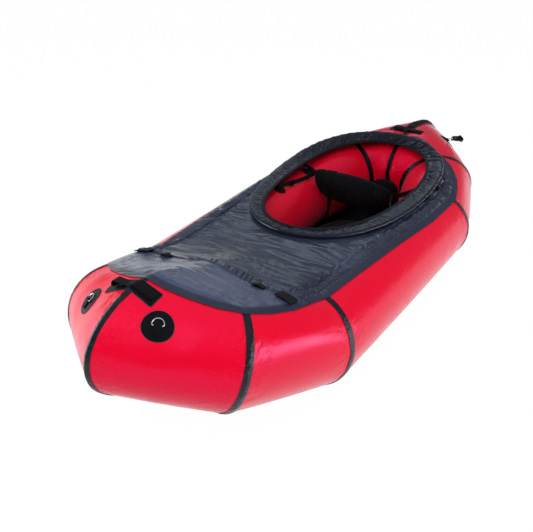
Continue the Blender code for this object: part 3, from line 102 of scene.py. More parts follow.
BOW_PORT, STERN_PORT, STERN_STARBOARD, BOW_STARBOARD = 0, 4, 5, 9

# How far each panel of the skin swells between its seams, bow to stern
SWELL = (0.0030, 0.0025, 0.0020, 0.0025, 0.0115)
FRAME_SWELL = (0.0, 0.0, 0.0, 0.0, 0.0115)

# Angles round the tube, 0 outboard and 90 on top, at each quarter of a panel from bow to stern
HEM_DEG = (93.0, 85.0, 79.0, 75.0, 76.0, 69.5, 67.5, 71.0, 75.0, 69.8, 64.0, 57.0, 57.0, 56.0,
           60.0, 72.0, 90.0, 94.5, 101.0, 111.0, 122.0)
LEAVE_DEG = (114.5, 111.0, 106.0, 100.0, 97.0, 92.5, 91.0, 92.0, 93.5, 92.5, 88.0, 80.0, 77.0,
             76.0, 79.0, 90.0, 105.0, 108.0, 114.0, 123.0, 134.0)
FLOOR_HEM_DEG = -62.0

# Cockpit rim and hoop
RIM_CENTRE_Y = 0.1706
RIM_HALF = (0.2447, 0.4549)
RIM_SHAPE = (-0.085, 0.190, 0.0300, -0.005, 0.035)
HOOP_REACH = (0.0287, 0.0260, 0.0607)
HOOP_SHAPE = (-0.087, 0.177, 0.0320, -0.019, 0.064)
HOOP_RADIUS = 0.006

# Cloth, tape and webbing
TAPE_WIDTH = 0.023
TAPE_THICKNESS = 0.0008
SKIN_CLEARANCE = 0.0005
CLOTH_STANDOFF = 0.0022
DECK_THICKNESS = 0.0010
BINDING_LEG = 0.0095
SKIN_THICKNESS = 0.0015
SKIN_GAP = 0.00035
SKIN_ROW = 0.0075
PUCKER_HEIGHT = 0.0011
PUCKER_REACH = 0.055
FLOOR_GAP = 0.0016
FLOOR_THICKNESS = 0.0011
FLOOR_HEIGHT = 0.0002
BAND_HALF_THICKNESS = 0.0005
BAND_OVER_HOOP = 0.0015
CASING_THICKNESS = 0.0006
THREAD_LIFT = 0.6
TAB_WIDTH = 0.020
HANDLE_WIDTH = 0.025
EDGE_ROUNDING = 0.0004
CASING_INSET = 0.048
LOOPS_Y = 0.474 - HULL_LENGTH / 2

# Stern strip, half widths of its patch and of its webbing
STRIP_HALF = 0.047
STRIP_WEBBING_HALF = 0.023

# Stern buckle: how much longer, wider and thicker than the frame's, and how far out
BUCKLE_GROWTH = (1.10, 1.7, 2.4)
BUCKLE_BACK = 0.004
BUCKLE_OUT = 0.009
BUCKLE_LOOP = (0.0085, 0.0100)
BUCKLE_WEBBING_THICKNESS = 0.0030

# Cushions
WELD = 1e-5
CUSHION_VOXEL = 0.006
CLOTH_FRAMES = 20

# Image width and focal length of the fitted camera, in pixels
IMAGE_WIDTH = 533
FOCAL_PIXELS = 610.021
SENSOR_MM = 36


# Settings

def colour_setting(label, about, default):
    return FloatVectorProperty(name=label, description=about, default=default, size=3,
                               subtype="COLOR", min=0.0, max=1.0)


def length_setting(label, about, default, high=0.1):
    return FloatProperty(name=label, description=about, default=default, min=0.0, max=high,
                         unit="LENGTH", subtype="DISTANCE")


class PackraftColours(PropertyGroup):
    """The colours of the cloths, tapes and fittings."""
    red: colour_setting("Hull", "Coated fabric of the tubes", (0.73, 0.001, 0.020))
    deck: colour_setting("Deck", "Nylon of the spray deck", (0.014, 0.019, 0.040))
    # Painted light and dust: this lighter colour stands in for the light that the fore panel ahead
    # of the casing catches and reflects, and it also tints the dust patches.
    fore_deck: colour_setting("Fore deck", "Nylon where it is dusty and ahead of the casing",
                              (0.062, 0.080, 0.150))
    coaming: colour_setting("Coaming", "Nylon round the cockpit rim", (0.0055, 0.0070, 0.0140))
    tape: colour_setting("Tape", "Film over the seams", (0.0050, 0.0052, 0.0090))
    patch: colour_setting("Patch", "Cloth of the glued patches", (0.0030, 0.0032, 0.0050))
    webbing: colour_setting("Webbing", "Handles, tabs and straps", (0.0022, 0.0022, 0.0032))
    cushion: colour_setting("Cushions", "Cloth of backrest, seat and bundle",
                            (0.0018, 0.0018, 0.0026))
    plastic: colour_setting("Plastic", "Buckles and valves", (0.0045, 0.0045, 0.0060))
    steel: colour_setting("Steel", "Lashing rings", (0.80, 0.81, 0.83))


class PackraftSizes(PropertyGroup):
    """Sizes that change the surface and leave the frame as it is."""
    fold_height: length_setting("Deck folds", "Height of the longest folds in the deck", 0.0085,
                                0.012)
    ruffle: length_setting("Ruffles", "Height of the gathers in the sewn casings", 0.0040, 0.006)
    stitch_step: length_setting("Stitch step", "From one stitch to the next", 0.0044)
    thread_length: length_setting("Thread length", "What shows of one stitch", 0.0030)
    thread_radius: length_setting("Thread radius", "Half the thread's thickness", 0.00035)
    crease_reach: length_setting("Crease reach", "How far the creases run from a seam", 0.040,
                                 0.3)
    cushion_pressure: FloatProperty(name="Stuffing", description="Pressure inside the cushions",
                                    default=4.0, min=0.0, max=20.0)
    cushion_movement: length_setting("Cushion movement", "The most that stuffing moves the cloth",
                                     0.008, 0.016)


class PackraftSettings(PropertyGroup):
    """Everything that a user may change."""
    colours: PointerProperty(name="Colours", description="Colours", type=PackraftColours)
    sizes: PointerProperty(name="Sizes", description="Surface sizes", type=PackraftSizes)


def colour(name):
    return tuple(getattr(bpy.context.scene.packraft.colours, name))


def size(name):
    return getattr(bpy.context.scene.packraft.sizes, name)


# Numbers over a surface

def hull_rings():
    """Centre, outboard direction stretched to the mitre, and upward direction at each corner."""
    port = list(PORT_CORNERS)
    starboard = [(-x, y, z) for x, y, z in reversed(port[1:-1])]
    corners = [Vector((x, y, BASE_HEIGHT + z)) for x, y, z in port + starboard]
    rings = []
    for index, here in enumerate(corners):
        before = (here - corners[index - 1]).normalized()
        after = (corners[(index + 1) % COUNT] - here).normalized()
        along = (before + after).normalized()
        side = along.cross(Vector((0, 0, 1))).normalized()
        up = side.cross(along)
        stretch = 1 / along.dot(before)
        if index == 0:
            stretch = BOW_OVERHANG / TUBE_RADIUS
        if index == COUNT // 2:
            stretch = STERN_OVERHANG / TUBE_RADIUS
        rings.append((np.array(here), np.array(side) * stretch, np.array(up)))
    return rings


RINGS = hull_rings()


def on_ring(index, angle, reach):
    centre, side, up = RINGS[index % COUNT]
    return (centre + side * (reach * np.cos(angle))[..., None]
            + up * (reach * np.sin(angle))[..., None])


def swell(panel, share, table=SWELL):
    """How far the skin stands out beyond its plain tube."""
    near = panel if panel < 5 else COUNT - 1 - panel
    return table[near] * (1 - (2 * np.clip(share, 0, 1) - 1) ** 2)


def seam_length(panel, angle):
    """Length of a panel along its skin at an angle."""
    reach = np.full_like(np.asarray(angle, float), TUBE_RADIUS)
    return np.linalg.norm(on_ring(panel + 1, angle, reach) - on_ring(panel, angle, reach), axis=-1)


def lattice(x, y, seed):
    value = np.sin(x * 127.1 + y * 311.7 + seed * 74.7) * 43758.5453
    return value - np.floor(value)


def noise(x, y, seed=1, wrap=0):
    """Smooth noise from -1 to 1; with wrap, y repeats after that many steps."""
    x, y = np.broadcast_arrays(np.asarray(x, float), np.asarray(y, float))
    low_x, low_y = np.floor(x), np.floor(y)
    fx, fy = x - low_x, y - low_y
    fx, fy = fx * fx * (3 - 2 * fx), fy * fy * (3 - 2 * fy)
    next_y = low_y + 1
    if wrap:
        low_y, next_y = np.mod(low_y, wrap), np.mod(next_y, wrap)
    low = lattice(low_x, low_y, seed) * (1 - fx) + lattice(low_x + 1, low_y, seed) * fx
    high = lattice(low_x, next_y, seed) * (1 - fx) + lattice(low_x + 1, next_y, seed) * fx
    return (low * (1 - fy) + high * fy) * 2 - 1


def folds(x, y, seed=1, wrap=0):
    """Rounded folds with sharper valleys between them, from -1 to 1."""
    return 1 - 2 * np.abs(noise(x, y, seed, wrap)) ** 0.7


def smooth_step(low, high, value):
    share = np.clip((value - low) / (high - low), 0.0, 1.0)
    return share * share * (3 - 2 * share)


def table_angle(table, panel, share):
    along = panel + np.asarray(share, float)
    along = np.minimum(along, COUNT - along) * (len(table) - 1) / (COUNT / 2)
    return np.radians(np.interp(along, np.arange(len(table)), table))


# Making objects

def collection(name):
    group = bpy.data.collections.get(name) or bpy.data.collections.new(name)
    if group.name not in bpy.context.scene.collection.children:
        bpy.context.scene.collection.children.link(group)
    return group


def add_piece(name, mesh, finish, body="hull", replaces=()):
    """Link a finished mesh, give it its material and its place on the frame."""
    piece = bpy.data.objects.new(name, mesh)
    collection("Packraft").objects.link(piece)
    mesh.materials.clear()
    mesh.materials.append(FINISHES[finish])
    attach(piece, body)
    if replaces:
        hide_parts(*replaces)
    return piece


def mesh_from(points, faces, uv=None):
    """A smooth mesh from points and quads, with a UV place for each corner of each quad."""
    mesh = bpy.data.meshes.new("mesh")
    mesh.vertices.add(len(points))
    mesh.vertices.foreach_set("co", np.asarray(points, np.float32).ravel())
    faces = np.asarray(faces, np.int32)
    mesh.loops.add(faces.size)
    mesh.loops.foreach_set("vertex_index", faces.ravel())
    mesh.polygons.add(len(faces))
    mesh.polygons.foreach_set("loop_start", np.arange(0, faces.size, 4, dtype=np.int32))
    mesh.update(calc_edges=True)
    if uv is not None:
        layer = mesh.uv_layers.new(name="surface")
        layer.data.foreach_set("uv", np.asarray(uv, np.float32).ravel())
    mesh.validate()
    mesh.shade_smooth()
    return mesh


def quads(rows, columns, wrap_u, wrap_v):
    """Corner places (row, column) of each quad of a grid, shape (quads, 4, 2)."""
    i, j = np.meshgrid(np.arange(rows if wrap_u else rows - 1),
                       np.arange(columns if wrap_v else columns - 1), indexing="ij")
    i, j = i.ravel(), j.ravel()
    return np.stack([np.stack([i, j], 1), np.stack([i + 1, j], 1),
                     np.stack([i + 1, j + 1], 1), np.stack([i, j + 1], 1)], 1)


def closed_sheet(upper, lower, wrap_u=False, wrap_v=False, uv=None, close_v=True):
    """A closed solid between two like grids; uv holds one row and column more where it wraps."""
    rows, columns = upper.shape[:2]
    corners = quads(rows, columns, wrap_u, wrap_v)

    def index(places, layer):
        return (places[..., 0] % rows) * columns + places[..., 1] % columns + layer * rows * columns

    top = index(corners, 0)
    bottom = index(corners[:, ::-1], 1)
    faces, spots = [top, bottom], [corners, corners[:, ::-1]]
    edges = []
    if not wrap_u:
        j = np.arange(columns if wrap_v else columns - 1)
        edges += [(np.stack([np.zeros_like(j), j], 1), np.stack([np.zeros_like(j), j + 1], 1)),
                  (np.stack([np.full_like(j, rows - 1), j + 1], 1),
                   np.stack([np.full_like(j, rows - 1), j], 1))]
    if not wrap_v and close_v:
        i = np.arange(rows if wrap_u else rows - 1)
        edges += [(np.stack([i + 1, np.zeros_like(i)], 1), np.stack([i, np.zeros_like(i)], 1)),
                  (np.stack([i, np.full_like(i, columns - 1)], 1),
                   np.stack([i + 1, np.full_like(i, columns - 1)], 1))]
    for start, end in edges:
        faces.append(np.stack([index(start, 0), index(end, 0), index(end, 1), index(start, 1)], 1))
        spots.append(np.stack([start, end, end, start], 1))
    faces, spots = np.concatenate(faces), np.concatenate(spots)
    if uv is not None:
        uv = uv[spots[..., 0], spots[..., 1]]
    points = np.concatenate([upper.reshape(-1, 3), lower.reshape(-1, 3)])
    mesh = tidied(mesh_from(points, faces, uv), 1e-6)
    mesh.shade_smooth()
    mesh.set_sharp_from_angle(angle=math.radians(50))
    return mesh


def tidied(mesh, distance):
    """Merge the doubled points of a mesh in place and turn its faces outward."""
    shape = bmesh.new()
    shape.from_mesh(mesh)
    bmesh.ops.remove_doubles(shape, verts=shape.verts, dist=distance)
    bmesh.ops.recalc_face_normals(shape, faces=shape.faces)
    shape.to_mesh(mesh)
    shape.free()
    return mesh


def evaluated(thing):
    """A new mesh of what an object's modifiers make of it."""
    graph = bpy.context.evaluated_depsgraph_get()
    return bpy.data.meshes.new_from_object(thing.evaluated_get(graph))


def blank_copy(node, name):
    """A linked object with its own copy of a frame piece's mesh."""
    copy = bpy.data.objects.new(name, NODES[node].data.copy())
    collection("Packraft").objects.link(copy)
    return copy


def read_points(mesh, kind="co"):
    values = np.empty(len(mesh.vertices) * 3)
    mesh.vertices.foreach_get(kind, values)
    return values.reshape(-1, 3)


def write_points(mesh, points):
    mesh.vertices.foreach_set("co", points.astype(np.float32).ravel())
    mesh.update()


def lengths_along(path):
    """Distance from the start of a path to each of its points."""
    return np.concatenate([[0], np.cumsum(np.linalg.norm(np.diff(path, axis=0), axis=-1))])


def metres_uv(rows, columns):
    """UV places from two lists of distances, in metres."""
    return np.stack(np.meshgrid(rows, columns, indexing="ij"), -1)


def surface_normals(grid, wrap_u=False, wrap_v=False):
    """Unit normals of a grid of points, to be turned outward by the caller."""
    def slope(axis, wrap):
        if wrap:
            return np.roll(grid, -1, axis) - np.roll(grid, 1, axis)
        return np.gradient(grid, axis=axis)

    normal = np.cross(slope(0, wrap_u), slope(1, wrap_v))
    return normal / np.maximum(np.linalg.norm(normal, axis=-1, keepdims=True), 1e-12)


def tree_of(*pieces):
    """A tree for casting rays on several pieces."""
    shape = bmesh.new()
    for piece in pieces:
        shape.from_mesh(piece.data)
    tree = BVHTree.FromBMesh(shape)
    shape.free()
    return tree


def heights_on(tree, points, missing=-9.0):
    """What lies straight under each point, or missing."""
    down = Vector((0, 0, -1))
    found = np.full(points.shape[:-1], missing)
    for place in np.ndindex(*points.shape[:-1]):
        x, y = points[place][:2]
        hit = tree.ray_cast(Vector((x, y, 1.0)), down)[0]
        if hit:
            found[place] = hit.z
    return found


def sweep(path, radius, sides):
    """A round bar along a closed path of points."""
    path = [Vector(point) for point in path]
    count = len(path)
    turns = [2 * math.pi * k / sides for k in range(sides)]
    rings = []
    normal = None
    for i, here in enumerate(path):
        tangent = (path[(i + 1) % count] - path[i - 1]).normalized()
        if normal is None:
            normal = tangent.orthogonal().normalized()
        normal = (normal - tangent * normal.dot(tangent)).normalized()
        across = tangent.cross(normal)
        rings.append([here + (normal * math.cos(t) + across * math.sin(t)) * radius for t in turns])
    shape = bmesh.new()
    verts = [[shape.verts.new(point) for point in ring] for ring in rings]
    for i in range(count):
        for k in range(sides):
            m = (k + 1) % sides
            shape.faces.new((verts[i][k], verts[i][m],
                             verts[(i + 1) % count][m], verts[(i + 1) % count][k]))
    bmesh.ops.recalc_face_normals(shape, faces=shape.faces)
    mesh = bpy.data.meshes.new("bar")
    shape.to_mesh(mesh)
    shape.free()
    mesh.shade_smooth()
    return mesh


# Hull pieces

def swell_share(points):
    """1 on the free skin, falling to 0 at the things fixed to it, which keep it flat."""
    keep = np.ones(points.shape[:-1])
    for node, near, far in FIXED_PLACES:
        low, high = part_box(node)
        middle = (np.array(low) + np.array(high)) / 2
        keep = keep * smooth_step(near, far, np.linalg.norm(points - middle, axis=-1))
    return keep


FIXED_PLACES = (
    ("bow_ring_patch_port", 0.040, 0.105), ("bow_ring_patch_starboard", 0.040, 0.105),
    ("valve_base", 0.035, 0.110), ("front_anchor_patch_port", 0.035, 0.095),
    ("front_anchor_patch_starboard", 0.035, 0.095), ("rear_anchor_patch_port", 0.035, 0.095),
    ("rear_anchor_patch_starboard", 0.035, 0.095),
)


def skin_plain(panel, share, angle, offset):
    """Points on the frame's own skin, where things are fixed to it."""
    share, angle, offset = np.broadcast_arrays(
        np.asarray(share, float), np.asarray(angle, float), np.asarray(offset, float))
    reach = TUBE_RADIUS + offset + swell(panel, share, FRAME_SWELL)
    start, end = on_ring(panel, angle, reach), on_ring(panel + 1, angle, reach)
    return start + (end - start) * share[..., None]


def on_skin(panel, share, angle, offset=0.0):
    """Points on the skin, swollen between the seams and flat under what is fixed to it."""
    plain = skin_plain(panel, share, angle, 0.0)
    share, angle, offset = np.broadcast_arrays(
        np.asarray(share, float), np.asarray(angle, float), np.asarray(offset, float))
    fixed = swell(panel, share, FRAME_SWELL)
    reach = TUBE_RADIUS + offset + fixed + (swell(panel, share) - fixed) * swell_share(plain)
    start, end = on_ring(panel, angle, reach), on_ring(panel + 1, angle, reach)
    return start + (end - start) * share[..., None]


def pucker(panel, share, angle, length):
    """Small creases in the skin that run in from each seam and die out."""
    from_seam = np.minimum(share, 1 - share) * length
    end = np.where(share < 0.5, 0, 7)
    turn = angle / (2 * math.pi) * 40
    crease = noise(turn, from_seam * 14 + end, seed=panel + 3) * np.exp(-from_seam / PUCKER_REACH)
    return PUCKER_HEIGHT * crease


def make_tube(panel):
    name = PANEL_NAMES[panel]
    angles = np.linspace(0, 2 * math.pi, 145)
    longest = float(seam_length(panel, np.array([0.0]))[0])
    rows = int(longest / SKIN_ROW)
    share = np.linspace(0, 1, rows)[:, None]
    length = seam_length(panel, angles)[None, :]
    inset = SKIN_GAP / length
    share = inset + share * (1 - 2 * inset)
    angle = np.broadcast_to(angles[None, :], share.shape)
    outer = on_skin(panel, share, angle, pucker(panel, share, angle, length))
    inner = on_skin(panel, share, angle, -SKIN_THICKNESS)
    uv = np.stack([share * length, np.broadcast_to(angles * TUBE_RADIUS, share.shape)], -1)
    mesh = closed_sheet(outer[:, :-1], inner[:, :-1], wrap_v=True, uv=uv)
    mark_nearness(mesh, panel)
    return add_piece(name + "_skin", mesh, "red", replaces=[name])


def mark_nearness(mesh, panel):
    """Store on each point how near it is to a seam, for the creases in the finish."""
    points = read_points(mesh)
    near = np.zeros(len(points))
    for index in (panel, panel + 1):
        centre, side, up = RINGS[index % COUNT]
        away = np.abs((points - centre) @ unit(np.cross(side, up)))
        near = np.maximum(near, np.exp(-(away / size("crease_reach"))))
    layer = mesh.attributes.new("near_seam", "FLOAT", "POINT")
    layer.data.foreach_set("value", near.astype(np.float32))


def make_tape(index):
    """A tape round a seam, half of it on each panel."""
    angles = np.linspace(0, 2 * math.pi, 193)
    across = np.array((-1.0, -0.93, -0.75, -0.5, -0.25, -0.06, 0.06, 0.25, 0.5, 0.75, 0.93, 1.0))
    low, high = [], []
    for place in across:
        panel = (index - 1) % COUNT if place < 0 else index
        length = seam_length(panel, angles)
        share = abs(place) * TAPE_WIDTH / 2 / length
        if place < 0:
            share = 1 - share
        edge = 0.0002 if abs(place) == 1 else 0.0
        ripple = 0.00035 * noise(angles / (2 * math.pi) * 90, place * 2 + 9, seed=index)
        low.append(on_skin(panel, share, angles, SKIN_CLEARANCE + edge))
        high.append(on_skin(panel, share, angles, SKIN_CLEARANCE + TAPE_THICKNESS + 0.0003
                            - edge + np.abs(ripple)))
    low, high = np.stack(low), np.stack(high)
    uv = metres_uv(across * TAPE_WIDTH / 2, angles * TUBE_RADIUS)
    name = "seam_tape_" + CORNER_NAMES[index]
    mesh = closed_sheet(high[:, :-1], low[:, :-1], wrap_v=True, uv=uv)
    return add_piece(name + "_strip", mesh, "tape", replaces=[name])


def make_floor():
    """One sheet over the underside, glued to the tubes up to its hem."""
    port = []
    for panel in range(COUNT // 2):
        steps = 26
        first = 0 if panel == 0 else 1
        for step in range(first, steps + 1):
            port.append((panel, step / steps))
    columns = []
    for panel, share in port:
        angles = np.radians(np.linspace(FLOOR_HEM_DEG, -90, 18))
        glued = on_skin(panel, share, angles, SKIN_CLEARANCE + FLOOR_GAP)
        across = np.linspace(0, 1, 26)[1:, None]
        inner = glued[-1] * np.array((1 - across[:, 0]))[:, None]
        inner[:, 1] = glued[-1][1]
        inner[:, 2] = glued[-1][2]
        columns.append(np.concatenate([glued, inner]))
    grid = np.array(columns)
    other = grid[:, ::-1] * np.array((-1, 1, 1))
    grid = np.concatenate([grid, other[:, 1:]], axis=1)
    x, y = grid[..., 0], grid[..., 1]
    free = smooth_step(0.0, 0.05, 0.30 - np.abs(x)) * smooth_step(0.0, 0.1, 0.95 - np.abs(y))
    lower = grid.copy()
    lower[..., 2] = np.maximum(grid[..., 2] - 0.0012, FLOOR_HEIGHT)
    upper = lower.copy()
    upper[..., 2] += FLOOR_THICKNESS
    crinkle = 0.0012 * free * (0.5 + 0.5 * noise(x * 30, y * 22, seed=5))
    upper[..., 2] += crinkle
    lower[..., 2] += crinkle * 0.8
    uv = np.stack([x, y], -1)
    mesh = closed_sheet(upper, lower, uv=uv)
    return add_piece("floor_sheet", mesh, "floor", replaces=["floor"])


# Cockpit rim and hoop

def rim_curve(turn, centre_y, half_width, half_length, shape):
    taper, full, middle, bow_rise, stern_rise = shape
    c = np.cos(turn)
    x = half_width * np.sin(turn) * (1 + taper * c + full * c * c)
    z = (BASE_HEIGHT + TUBE_RADIUS + middle
         + c * (bow_rise - stern_rise) / 2 + c * c * (bow_rise + stern_rise) / 2)
    return np.stack([x, centre_y - half_length * c, z], -1)


def rim_at(turn):
    return rim_curve(turn, RIM_CENTRE_Y, RIM_HALF[0], RIM_HALF[1], RIM_SHAPE)


def hoop_at(turn):
    bow, stern, side = HOOP_REACH
    return rim_curve(turn, RIM_CENTRE_Y + (stern - bow) / 2, RIM_HALF[0] + side,
                     RIM_HALF[1] + (stern + bow) / 2, HOOP_SHAPE)


def unit(vectors):
    return vectors / np.maximum(np.linalg.norm(vectors, axis=-1, keepdims=True), 1e-12)


def rim_axes(turn):
    """Rim point, direction to the hoop, upward direction and distance to the hoop."""
    start, hoop = rim_at(turn), hoop_at(turn)
    reach = np.linalg.norm(hoop - start, axis=-1)
    out = unit(hoop - start)
    up = unit(np.cross(out, rim_at(turn + 0.01) - rim_at(turn - 0.01)))
    return start, out, np.where(up[..., 2:] < 0, -up, up), reach


RIM_TURNS = np.linspace(0, 2 * math.pi, 961)[:-1]


def make_band():
    """Cloth from the binding out to the hoop and round it."""
    turn = RIM_TURNS[:, None]
    start, out, up, reach = rim_axes(turn)
    radius = HOOP_RADIUS + BAND_OVER_HOOP
    flat = np.linspace(0.0010, 1.0, 22)[None, :]
    along = flat * reach
    lift = np.broadcast_to(radius * smooth_step(0.25, 1.0, flat), along.shape)
    wraps = np.radians(np.linspace(90, -150, 16))[1:][None, :]
    along = np.concatenate([np.maximum(along, 0.001), reach + radius * np.cos(wraps)], 1)
    lift = np.concatenate([lift, np.broadcast_to(radius * np.sin(wraps), (len(turn), 15))], 1)
    arc = np.arange(along.shape[1]) / 21.0
    stern = smooth_step(0.5, -0.5, np.cos(turn)) * 0.65 + 0.35
    middle = np.clip(np.sin(np.clip(arc * 1.05, 0, 1) * math.pi), 0, 1)[None, :] ** 0.7
    middle = np.maximum(middle, np.where(arc[None, :] > 0.75, 0.30, 0.0))
    slanted = turn * 19 + arc[None, :] * 2.8
    wave = folds(slanted, arc[None, :] * 0.9 + turn * 2, seed=21) * 0.0056 * stern
    wave = wave + folds(turn * 47 - arc[None, :] * 2.2, arc[None, :] * 1.3, seed=22) * 0.0014
    wave = wave + noise(turn * 110, arc[None, :] * 4, seed=23) * 0.0003
    lift_wave = (wave + 0.0008) * middle
    grid = start + out * along[..., None] + up * lift[..., None]
    normal = surface_normals(grid, wrap_u=True)
    facing = np.where((normal * up).sum(-1, keepdims=True)[:, :1] < 0, -1.0, 1.0)
    normal = normal * facing
    grid = grid + normal * np.maximum(lift_wave, -0.0004)[..., None]
    upper = grid + normal * BAND_HALF_THICKNESS
    lower = grid - normal * BAND_HALF_THICKNESS
    rim = rim_at(RIM_TURNS)
    length = np.append(np.cumsum(np.linalg.norm(rim - np.roll(rim, 1, 0), axis=-1)), 0)
    length[-1] = length[-2] + 0.003
    uv = metres_uv(length, arc * 0.06)
    mesh = closed_sheet(upper, lower, wrap_u=True, uv=uv)
    return add_piece("coaming_band_cloth", mesh, "band", replaces=["coaming_band"])


def make_binding():
    """A folded tape sewn round the cloth's inner edge."""
    turn = RIM_TURNS[:, None]
    start, out, up, reach = rim_axes(turn)
    half, thick = 0.0020, 0.0012
    bends = np.radians(np.linspace(90, 270, 9))[None, :]
    leg = np.linspace(BINDING_LEG, 0.001, 6)[None, :]

    def path(grow):
        flare = 1 + 0.15 * noise(turn * 30, 0.5, seed=31)
        top = np.concatenate([np.broadcast_to(leg, (len(turn), 6)),
                              np.broadcast_to((half + grow) * np.cos(bends), (len(turn), 9)),
                              np.broadcast_to(leg[:, ::-1], (len(turn), 6))], 1)
        rise = np.concatenate([np.full((len(turn), 6), half + grow) * flare,
                               np.broadcast_to((half + grow) * np.sin(bends), (len(turn), 9)),
                               np.full((len(turn), 6), -half - grow)], 1)
        return (start + out * top[..., None] + up * (rise - 0.0006)[..., None])

    outer, inner = path(thick), path(0.0)
    length = np.arange(len(RIM_TURNS) + 1) * 0.0024
    uv = metres_uv(length, np.arange(21) * 0.0014)
    mesh = closed_sheet(outer, inner, wrap_u=True, uv=uv)
    return add_piece("coaming_binding_tape", mesh, "binding", replaces=["coaming_binding"])


def make_hoop():
    mesh = sweep(hoop_at(np.linspace(0, 2 * math.pi, 241)[:-1]), HOOP_RADIUS, sides=20)
    return add_piece("coaming_hoop_bar", mesh, "plastic", replaces=["coaming_hoop"])


# Spray deck

def deck_stations():
    stations = []
    for panel in range(COUNT):
        length = float(np.mean(seam_length(panel, np.radians([0.0, 90.0]))))
        steps = max(int(length / 0.0085), 8)
        stations += [(panel, step / steps) for step in range(steps)]
    return stations


HEM_ROWS, SPAN_ROWS, NEAR_ROWS = 12, 44, 16


def deck_surface():
    """The deck's underside as a grid of stations round the hull by rows in to the rim."""
    stations = deck_stations()
    count = len(stations)
    drop = 0.0035
    grid = np.zeros((count, HEM_ROWS + SPAN_ROWS + NEAR_ROWS, 3))
    turns = np.zeros(count)
    for i, (panel, share) in enumerate(stations):
        hem = float(table_angle(HEM_DEG, panel, share))
        leave = float(table_angle(LEAVE_DEG, panel, share))
        hem_rows = np.linspace(hem, leave, HEM_ROWS)
        grid[i, :HEM_ROWS] = on_skin(panel, share, hem_rows, CLOTH_STANDOFF)
        turns[i] = math.atan2(grid[i, HEM_ROWS - 1, 0] / RIM_HALF[0],
                              (RIM_CENTRE_Y - grid[i, HEM_ROWS - 1, 1]) / RIM_HALF[1])
    start, out, up, reach = rim_axes(turns)
    outer = start + out * 0.0115 - up * drop
    inner = start + out * 0.0030 - up * drop
    leave = grid[:, HEM_ROWS - 1]
    span = np.linalg.norm((leave - outer)[:, :2], axis=-1)
    near = np.minimum(reach + 0.035, 0.75 * span)
    turning = outer + (leave - outer) * (near / span)[:, None]
    far_share = np.linspace(0, 1, SPAN_ROWS + 1)[1:]
    grid[:, HEM_ROWS:HEM_ROWS + SPAN_ROWS] = (
        leave[:, None] + (turning - leave)[:, None] * far_share[None, :, None])
    near_share = np.linspace(0, 1, NEAR_ROWS)[1:]
    grid[:, HEM_ROWS + SPAN_ROWS:HEM_ROWS + SPAN_ROWS + NEAR_ROWS - 1] = (
        turning[:, None] + (outer - turning)[:, None] * near_share[None, :, None])
    grid[:, -1] = inner
    return grid


def settle_deck(grid):
    """Heights of the span from the frame's deck, evened out, over the tubes and under the hoop."""
    deck = tree_of(NODES["spray_deck"])
    over = tree_of(NODES["coaming_hoop"], NODES["coaming_band"])
    tubes = tree_of(*[bpy.data.objects[name + "_skin"] for name in PANEL_NAMES],
                    *[bpy.data.objects["seam_tape_%s_strip" % name] for name in CORNER_NAMES])
    first, last = HEM_ROWS, grid.shape[1] - 2
    span = grid[:, first:last].copy()
    base = heights_on(deck, span)
    missing = base < 0
    base = np.where(missing, span[..., 2], base - DECK_THICKNESS)
    least = heights_on(tubes, span) + CLOTH_STANDOFF
    most = np.full(base.shape, 9.0)
    for place in np.ndindex(*base.shape):
        x, y = span[place][:2]
        hit = over.ray_cast(Vector((x, y, base[place] - 0.03)), Vector((0, 0, 1)))[0]
        if hit:
            most[place] = hit.z - 0.0030
    heights = np.concatenate([grid[:, first - 1:first, 2], base, grid[:, last:last + 1, 2]], 1)
    for _ in range(90):
        middle = heights[:, 1:-1]
        around = (np.roll(middle, 1, 0) + np.roll(middle, -1, 0)
                  + heights[:, :-2] + heights[:, 2:]) / 4
        middle = middle + (around - middle) * 0.8
        middle = np.minimum(np.maximum(middle, least), most)
        heights[:, 1:-1] = middle
    grid[:, first:last, 2] = heights[:, 1:-1]
    return grid, least, most


DECK = {}


